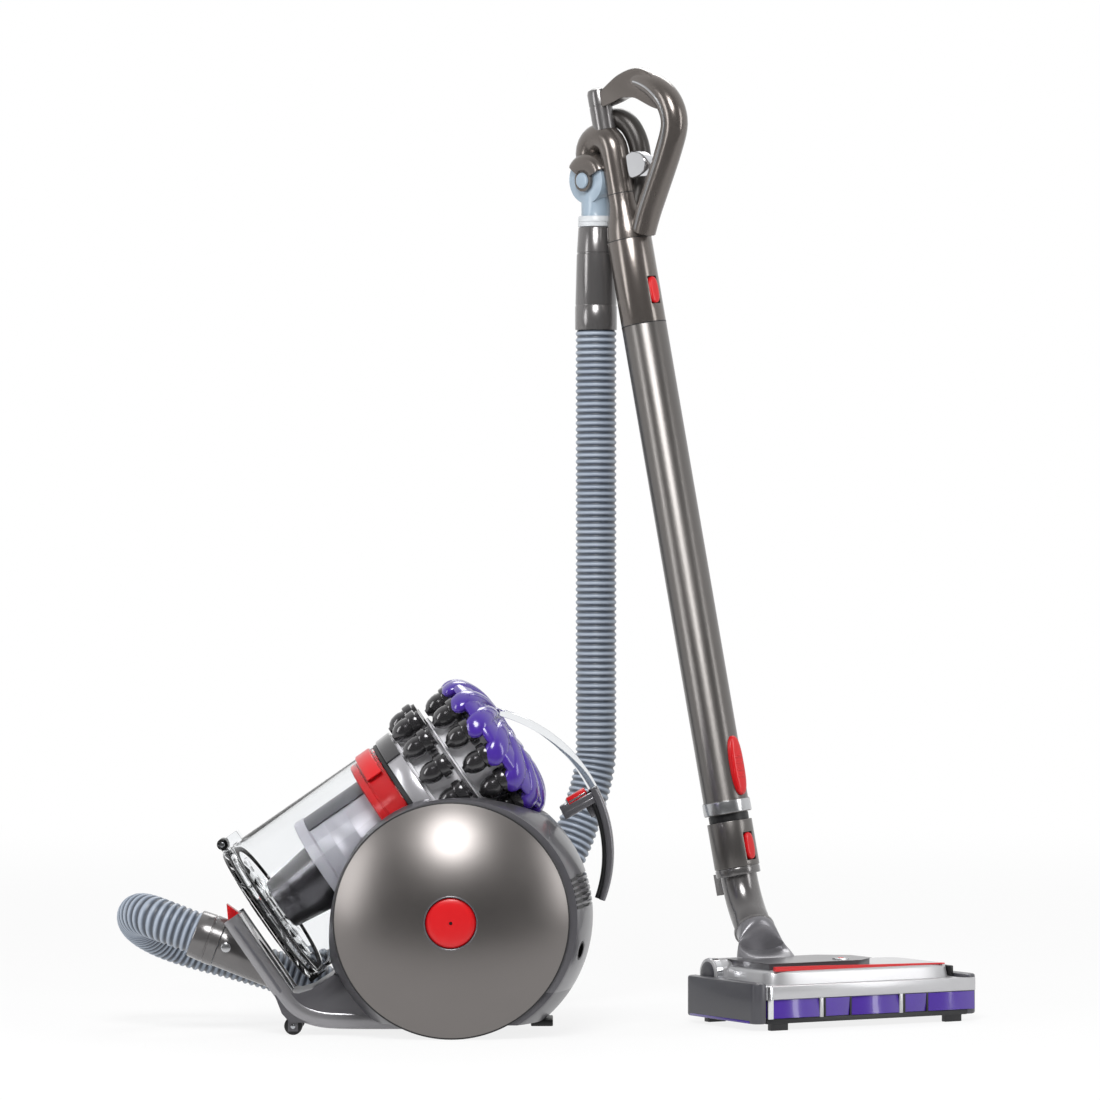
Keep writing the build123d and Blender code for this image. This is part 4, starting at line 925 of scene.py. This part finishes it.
# Knuckle: the pale blue ABS elbow that turns on the hose cuff and carries the handle on a steel pin.
# The pale ring below it is the swivel bearing, pressed on the neck, and the oval boss covers the pin.
wand_place = placed((168, 243, 875), (0.689118, -0.706787, 0.159902), (-0.167781, 0.059043, 0.984055))
knuckle_blue = moulded("knuckle_blue", "#90a0ae", 0.32, coat=0.25, drift=0.06)
ring_pale = moulded("ring_pale", "#c3c6c9", 0.34, drift=0.05)
softened("knuckle", knuckle_blue, "knuckle_blue", edge=0.0034)
swivel_outline = [(15.5, 820.5), (18.4, 820.5), (18.8, 821), (18.8, 824.6), (18.2, 825.2), (18.8, 825.8),
                  (18.6, 830.6), (18, 831.4), (15.5, 831.4)]
fit(turned("swivel_ring", swivel_outline, riser_place, steps=64), "knuckle_body", ring_pale, "pale_grey")
dress("knuckle_pin", axle_steel)
PIN_X = -33
pin_outline = [(0.01, 2.2), (5.2, 2.2), (7.6, 1.6), (8.4, 0.4), (8.4, -0.4), (0.01, -0.4)]
pin_caps = []
for y, turn in ((-20.9, 90), (20.9, -90)):
    pin_caps.append(turned("pin_cap", pin_outline, moved(wand_place, (PIN_X, y, 0), turn, "X"), steps=44))
fit(joined("pin_caps", pin_caps), "handle", knuckle_blue, "knuckle_blue")


# Handle: a glossy taupe ABS tube that bends over to the knuckle, with a loop welded to it for the hand.
# Thin seams show where its mouldings meet, and a dark stub closes the top of the loop.
def seam_ring(name, radius, height, place):
    # A thin dark line round a tube
    outline = [(radius - 0.6, height - 0.5), (radius + 0.12, height - 0.5), (radius + 0.12, height + 0.5),
               (radius - 0.6, height + 0.5)]
    return turned(name, outline, place, steps=64)


handle_taupe = moulded("handle_taupe", "#6b6561", 0.24, metal=0.7, coat=0.25, drift=0.06)
crook_line = [(0, -71.2, 22.8), (0, -66, 22.6), (0, -59, 21.9), (0, -48, 19.2), (0, -38, 16.4),
              (0, -30, 15.2), (0, -10, 15), (0, 8, 15), (0, 24, 15)]
BEND_STEPS, BEND_RADIUS = 12, 18
for step in range(1, BEND_STEPS + 1):
    turn = math.pi * step / BEND_STEPS
    crook_line.append((BEND_RADIUS * math.cos(turn) - BEND_RADIUS, 24 + BEND_RADIUS * math.sin(turn), 15))
crook_path = [Vector((x, 0, z)) for x, z, radius in crook_line]
crook_shapes = [pill(radius, radius, 2, 36) for x, z, radius in crook_line]
fit(tube("handle_tube", crook_path, crook_shapes, wand_place), "handle", handle_taupe, "handle_taupe",
    "handle_crook")
hood_place = moved(wand_place, (PIN_X, 0, 0), -90, "X")
hood_outline = [(4, -16.8), (24.7, -16.8), (24.7, 16.8), (4, 16.8), (4, 20.4), (20, 20.4), (24, 19.6),
                (27, 17), (28.6, 13), (29, 8), (29, -8), (28.6, -13), (27, -17), (24, -19.6), (20, -20.4),
                (4, -20.4)]
hood_parts = [sector("hood", hood_outline, hood_place, math.radians(-134), math.radians(120), 24, 0.5)]
for low, high in ((-20.4, -16.8), (16.8, 20.4)):
    ring = [(4, low), (11.4, low), (11.4, high), (4, high)]
    hood_parts.append(turned("cheek_eye", ring, hood_place, steps=40))
fit(joined("crook_hood", hood_parts), "handle", handle_taupe, "handle_taupe")
fit(seam_ring("crook_seams", 15, -22, wand_place), "handle", black_and_painted_shade, "black_plastic")
# Middle of the loop's tube in the plane of the handle, with its radius
loop_line = [(32, 88, 4), (45, 88.5, 7.4), (58, 85.5, 10.4), (76, 74, 13), (89.5, 55.5, 13.8),
             (91.5, 33, 13.8), (77, 8, 13.6), (51, -26, 13.4), (34, -48, 13.2), (22, -66, 13)]
loop_line = smooth_line(loop_line, 5)
loop_path = [Vector((x, 0, z)) for x, z, radius in loop_line]
loop_shapes = [pill(radius, radius, 2.1, 32) for x, z, radius in loop_line]
fit(tube("handle_grip", loop_path, loop_shapes, wand_place), "handle", handle_taupe, "handle_taupe",
    "handle_loop")
web_outline = [(-14, 80), (0, 87), (14, 93), (27, 97.8), (42, 100.4), (57, 100), (70, 94), (80, 84),
               (87, 70), (89, 58), (84, 50), (73, 54), (61, 62), (49.6, 69.5), (38, 72.6), (28.5, 74),
               (16, 72), (-2, 71), (-14, 72)]
web_line = smooth_line(web_outline + web_outline[:1], 3)[:-1]
WEB_X, WEB_Z = 40, 80
web_middle = Vector((WEB_X, 0, WEB_Z))
web_rows = []
for y, grow in ((-8, 0.955), (-7.2, 0.99), (-6, 1), (6, 1), (7.2, 0.99), (8, 0.955)):
    web_rows.append([web_middle + Vector(((x - WEB_X) * grow, y, (z - WEB_Z) * grow)) for x, z in web_line])
fit(swept("grip_web", web_rows, wand_place), "handle", handle_taupe, "handle_taupe")
SEAM_INWARD, SEAM_OUT = 0.1, 0.99
# The loop's seams are real; the silver lines laid along them paint the highlight that runs along each seam.
loop_seam_highlights = []
for side in (-1, 1):
    seam_path = []
    for i in range(8, len(loop_line) - 1):
        way = (loop_path[i + 1] - loop_path[i - 1]).normalized()
        inward = Vector((way.z, 0, -way.x))
        radius = loop_line[i][2]
        out = Vector((0, side * radius * SEAM_OUT, 0))
        seam_path.append(loop_path[i] + inward * radius * SEAM_INWARD + out)
    loop_seam_highlights.append(tube("grip_seam_highlight", seam_path, pill(1.2, 1.2, 2, 8), wand_place))
fit(joined("grip_seam_highlights", loop_seam_highlights), "handle", silver_trim, "chrome_trim")
# Painted shade: the tube behind the crook is coloured dark for the shade it lies in.
bleed_line = smooth_line([(-8, 13, 60), (4, 15, 57), (13, 18, 46), (17.5, 20, 28), (16.5, 20, 8),
                          (12, 17, -14), (6, 10, -38)], 4)
bleed_path = [Vector(point) for point in bleed_line]
stem_painted_shade = moulded("stem_painted_shade", "#3a3735", 0.32, metal=0.4)
fit(tube("bleed_duct", bleed_path, pill(11, 11, 2, 26), wand_place), "handle", stem_painted_shade, "charcoal")
stub_outline = [(0.01, 92.4), (7.5, 92.2), (11, 90.6), (12.1, 87), (12.1, 74.6), (11.6, 74), (11.6, 73.2),
                (12.1, 72.6), (12.1, 48), (0.01, 48)]
stub_place = moved(wand_place, (-8, 0, 0))
fit(turned("handle_stub", stub_outline, stub_place, steps=56), "handle", duct_grey, "charcoal")

# Trigger: a lens-shaped lever in chromed ABS that opens the air bleed.
# It slides on its stem in the front of the handle tube.
trigger_outline = [(21, 15), (30, 17.6), (40, 14.6), (47.4, 7.6), (48, 0), (42.4, -7), (32, -10.6),
                   (21, -8)]
TRIGGER_X, TRIGGER_Z = 34, 4
trigger_rows = []
for y, grow in ((-6.8, 0.90), (-5.6, 0.98), (-3, 1), (3, 1), (5.6, 0.98), (6.8, 0.90)):
    ring = [(TRIGGER_X + (x - TRIGGER_X) * grow, y, TRIGGER_Z + (z - TRIGGER_Z) * grow)
            for x, z in trigger_outline]
    row = smooth_line(ring + ring[:1], 4)
    trigger_rows.append([Vector(p) for p in row[:-1]])
chrome_bright = moulded("chrome_bright", "#d9dadd", 0.12, metal=0.95, drift=0.04, bump=0.0)
fit(swept("trigger_lens", trigger_rows, wand_place), "trigger_body", chrome_bright, "chrome_trim",
    "trigger")


# Wand: two drawn aluminium tubes with a satin grey finish, one sliding in the other, held by a red catch.
# A taupe collar with a red key locks it to the handle, and a key at its foot frees the floor head.
def domed_key(name, low, high, half_wide, first, last, place):
    # An oval key with a domed top, standing along x
    middle, half_long = (first + last) / 2, (last - first) / 2
    rows = []
    for share, size in ((0, 1), (0.55, 1), (0.8, 0.93), (0.94, 0.74), (1, 0.4)):
        outline = pill(half_wide * (0.3 + 0.7 * size), half_long * (0.4 + 0.6 * size), 2.6, 36)
        rows.append([Vector((low + (high - low) * share, y, middle + z)) for y, z in outline])
    return swept(name, rows, place)


wand_grey = moulded("wand_grey", "#6a6765", 0.32, metal=0.8, coat=0.1, drift=0.05, bump=0.01)
softened("wand_collar", handle_taupe, "handle_taupe", edge=0.0006)
softened("outer_wand", wand_grey, "wand_grey", edge=0.0006)
softened("inner_wand", wand_grey, "wand_grey", edge=0.0006)
seams = [seam_ring("seam", radius, height, wand_place) for radius, height in ((23.4, -71.2), (23.5, -161))]
fit(joined("wand_seams", seams), "handle", black_and_painted_shade, "black_plastic")
end_ring = [(23.6, -677.6), (24.9, -677.2), (25.1, -676.4), (25.1, -665.6), (24.9, -664.8), (23.6, -664.4)]
fit(turned("wand_end_ring", end_ring, wand_place, steps=72), "handle", silver_trim, "chrome_trim")
gap_ring = [(19.6, -685.7), (20.8, -685.7), (20.8, -678.5), (19.6, -678.5)]
fit(turned("wand_gap_ring", gap_ring, wand_place, steps=64), "inner", black_and_painted_shade, "black_plastic")
for name, size, body, node in (
        ("top_key_cap", (20.8, 25, 6, -142, -114), "top_key", "wand_button_top"),
        ("low_key_cap", (20.8, 25, 6, -728, -700), "low_key", "wand_button_low"),
        ("catch_cap", (21.6, 28.4, 8.4, -661, -599), "telescope_key", "telescope_catch")):
    fit(domed_key(name, *size, wand_place), body, bright_red, "red_plastic", node)
grip_bars = [milled("catch_bar", (27.4, -4.4, z), (29, 4.4, z + 2.2), wand_place, 0.5)
             for z in (-643, -636, -629, -622)]
fit(joined("catch_grip", grip_bars), "telescope_key", bright_red, "red_plastic")


# Neck: the bent tube from the wand down to the floor head, grey ABS with a metallic finish.
# A ring closes its joint with the wand, and the small hook on its side parks the wand on the machine.
softened("neck_elbow", duct_grey, "charcoal", edge=0.0010)
neck_ring = [(19, -742.4), (22.8, -742.2), (23.2, -741.4), (23.2, -735.4), (22.8, -734.6), (19, -734.4)]
fit(turned("neck_ring", neck_ring, wand_place, steps=64), "inner", duct_grey, "charcoal")

# Boot: a soft rubber skirt from the foot of the neck to the deck of the floor head, over the pitch hinge.
# It is clamped on the swivel above and in a dark frame on the deck.
head_place = placed((385, 121, 0), (0.866025, 0.5, 0), (0, 0, 1))
head_turn = head_place.to_3x3().normalized()
neck_up = head_turn.transposed() @ Vector((-0.239405, 0.727708, 0.64275))
hinge = Vector((-50, 53, 70))
neck_side = neck_up.cross(Vector((1, 0, 0))).normalized()
neck_across = neck_side.cross(neck_up).normalized()
boot_top, boot_bend, boot_end = hinge + neck_up * 33.4, Vector((-50, 51, 79)), Vector((-50, 44, 58.2))
BOOT_SIDES = 44
BOOT_STEPS = 14
BOOT_FOOT = (32, 20)
boot_rows = []
for step in range(BOOT_STEPS + 1):
    t = step / BOOT_STEPS
    ease = t * t * (3 - 2 * t)
    middle = boot_top * (1 - t) ** 2 + boot_bend * 2 * t * (1 - t) + boot_end * t * t
    row = []
    for (c, s), (x, y) in zip(pill(1, 1, 2, BOOT_SIDES), pill(*BOOT_FOOT, 2.5, BOOT_SIDES)):
        upper = (neck_across * c - neck_side * s) * 20.4
        lower = Vector((x, y, 0))
        row.append(middle + upper.lerp(lower, ease) * (1 + 0.04 * math.sin(math.pi * t)))
    boot_rows.append(row)
boot_rubber = moulded("boot_rubber", "#77767a", 0.32, metal=0.45, coat=0.2, drift=0.06, bump=0.01)
boot = swept("boot_skirt", boot_rows, head_place)
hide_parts("neck_boot")
boot.data.materials.clear()
boot.data.materials.append(boot_rubber)
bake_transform(boot)
neck_turn = Matrix((neck_across, -neck_side, neck_up)).transposed().to_4x4()
clamp_place = head_place @ Matrix.Translation(hinge) @ neck_turn
clamp_outline = [(17, 33.8), (20.6, 33.8), (21.4, 33), (21.4, 30), (20.6, 29.2), (17, 29.2)]
fit(turned("boot_clamp", clamp_outline, clamp_place, steps=64), "boot", duct_grey, "charcoal")
frame_rows = []
for z, grow in ((58, 1.2), (60.4, 1.2), (61.2, 0.6), (61.2, -2.4)):
    rim = pill(BOOT_FOOT[0] + grow, BOOT_FOOT[1] + grow, 2.5, BOOT_SIDES)
    frame_rows.append([Vector((-50 + x, 45 + y, z)) for x, y in rim])
fit(swept("boot_frame", frame_rows, head_place), "head", black_and_painted_shade, "black_plastic")

# Floor head: a silver lower tier with charcoal end caps, and a silver deck with a dark fairing and a red
# line. The mouldings are ABS, clipped together; the barrel at the rear left houses the brush turbine.
head_silver = moulded("head_silver", "#b9b9bb", 0.32, metal=0.45, coat=0.25, drift=0.06)
fairing_dark = moulded("fairing_dark", "#57565a", 0.32, metal=0.4, coat=0.2)
cap_charcoal = moulded("cap_charcoal", "#45454a", 0.36, coat=0.1)
softened("head_body", head_silver, "silver_plastic", edge=0.0005)
deck_rows = []
for z, inset in ((44, 0), (46, 0.4), (54, 1.6), (56.6, 2.6), (57.7, 4), (58, 6)):
    deck_rows.append([Vector((6 + x, 6 + y, z)) for x, y in pill(112 - inset, 56 - inset, 9, 72)])
fit(swept("deck_cover", deck_rows, head_place), "head", head_silver, "silver_plastic", "deck")
fit(milled("deck_end", (113.5, -47, 46), (118.4, 58, 55.6), head_place, 1.2), "head", black_and_painted_shade,
    "black_plastic")
softened("end_caps", cap_charcoal, "charcoal", edge=0.0022)
corners = [(-98, -36), (8, -36), (36, -14), (36, 20), (8, 42), (-98, 42)]
fairing_rows = []
for z, grow in ((57.8, 0.6), (62.4, 0.6), (64.2, -0.8), (64.7, -2.6)):
    fairing_rows.append([Vector((x + math.copysign(grow, x + 30), y + math.copysign(grow, y - 3), z))
                         for x, y in corners])
fit(swept("deck_fairing", fairing_rows, head_place), "head", fairing_dark, "charcoal")
line_rows = []
for x, top in ((-98, 61.6), (-97, 62), (-40, 61.4), (20, 60.2), (107, 58.8), (108, 58.6)):
    rib = ((-46.4, 57.4), (-46.4, top - 0.4), (-46, top), (-43, top), (-43, 57.4))
    line_rows.append([Vector((x, y, z)) for y, z in rib])
fit(swept("deck_line", line_rows, head_place), "head", bright_red, "red_plastic")
fit(milled("front_beam", (-118, -68.9, 31.2), (130.8, -65.8, 44.6), head_place, 1.0), "head", head_silver,
    "silver_plastic")
fit(milled("corner_post", (-120.4, -69.3, 11.6), (-113.8, -66.6, 44.8), head_place, 0.8), "head",
    chrome_bright, "chrome_trim")
barrel_place = moved(head_place, (-120.4, 46, 50), -90, "Y")
barrel_outline = [(0.01, 1.2), (7, 1.4), (11.6, 1.2), (12.4, 0.6), (12.4, -0.6), (0.01, -0.6)]
fit(turned("barrel_end", barrel_outline, barrel_place, steps=56), "head", cap_charcoal, "charcoal")
barrel_ring = [(15.2, -9), (16, -8.8), (16, -2.2), (15.2, -2)]
fit(turned("barrel_ring", barrel_ring, barrel_place, steps=56), "head", chrome_bright, "chrome_trim")

# Front windows: purple tinted polycarbonate panels in front of the brush, between silver posts.
# The panels snap in from inside, so dark shut lines show beside the posts.
window_purple = moulded("window_purple", "#482d90", 0.22, coat=0.45, drift=0.10)
panels = []
for left, right, low_y, high_y in ((-119.5, -58.4, -68.5, -66.6), (-50.8, -22.2, -66.9, -68.4),
                                   (-19.8, 37.8, -68.5, -66.4), (45.2, 70.8, -66.8, -68.4),
                                   (73.2, 130, -68.7, -67.9)):
    rows = []
    for x in (left, left + 0.8, right - 0.8, right):
        pinch = 0.6 if x in (left, right) else 0
        rows.append([Vector((x, low_y + pinch, 12.4)), Vector((x, high_y + pinch, 30.6)),
                     Vector((x, -62, 30.6)), Vector((x, -62, 12.4))])
    panels.append(swept("panel", rows, head_place))
fit(joined("window_panels", panels), "head", window_purple, "purple_plastic", "front_window")
posts = [milled("window_post", (x - 2.2, -68.3, 11.6), (x + 2.2, -66.8, 31.4), head_place, 0.5)
         for x in (-56, 40)]
fit(joined("window_posts", posts), "head", head_silver, "silver_plastic")
gaps = [milled("window_gap", (x - 1.1, -67.9, 12), (x + 1.1, -66.9, 31), head_place, 0.2)
        for x in (-52, -21, 44, 72)]
fit(joined("window_gaps", gaps), "head", black_and_painted_shade, "black_plastic")
fit(milled("cap_strip", (-135.3, -57, 7.4), (-134.4, 57, 10), head_place, 0.2), "head", purple,
    "purple_plastic")

# Sole plate, brush bar and slider: the plate under the head with its felt pads, the roller with bristles,
# and the small plate on the fairing that opens the suction slot, with a red mark.
# Painted shadow: the sole plate is coloured near black for the shadow under the head.
sole_painted_shadow = moulded("sole_painted_shadow", "#1f1f21", 0.42, metal=0.15)
softened("sole_plate", sole_painted_shadow, "base_grey", edge=0.0008)
dress("brush_bar", moulded("brush_mix", "#3b3340", 0.75, drift=0.30, bump=0.25, grain=700))
softened("suction_slider", silver_trim, "silver_plastic", edge=0.0008)
dot_place = moved(head_place, (-2, -20, 66))
mark_outline = [(0.01, 0.6), (2.4, 0.6), (3, 0.2), (3, -0.4), (0.01, -0.4)]
fit(turned("slider_dot", mark_outline, dot_place, steps=32), "slider", bright_red, "red_plastic")
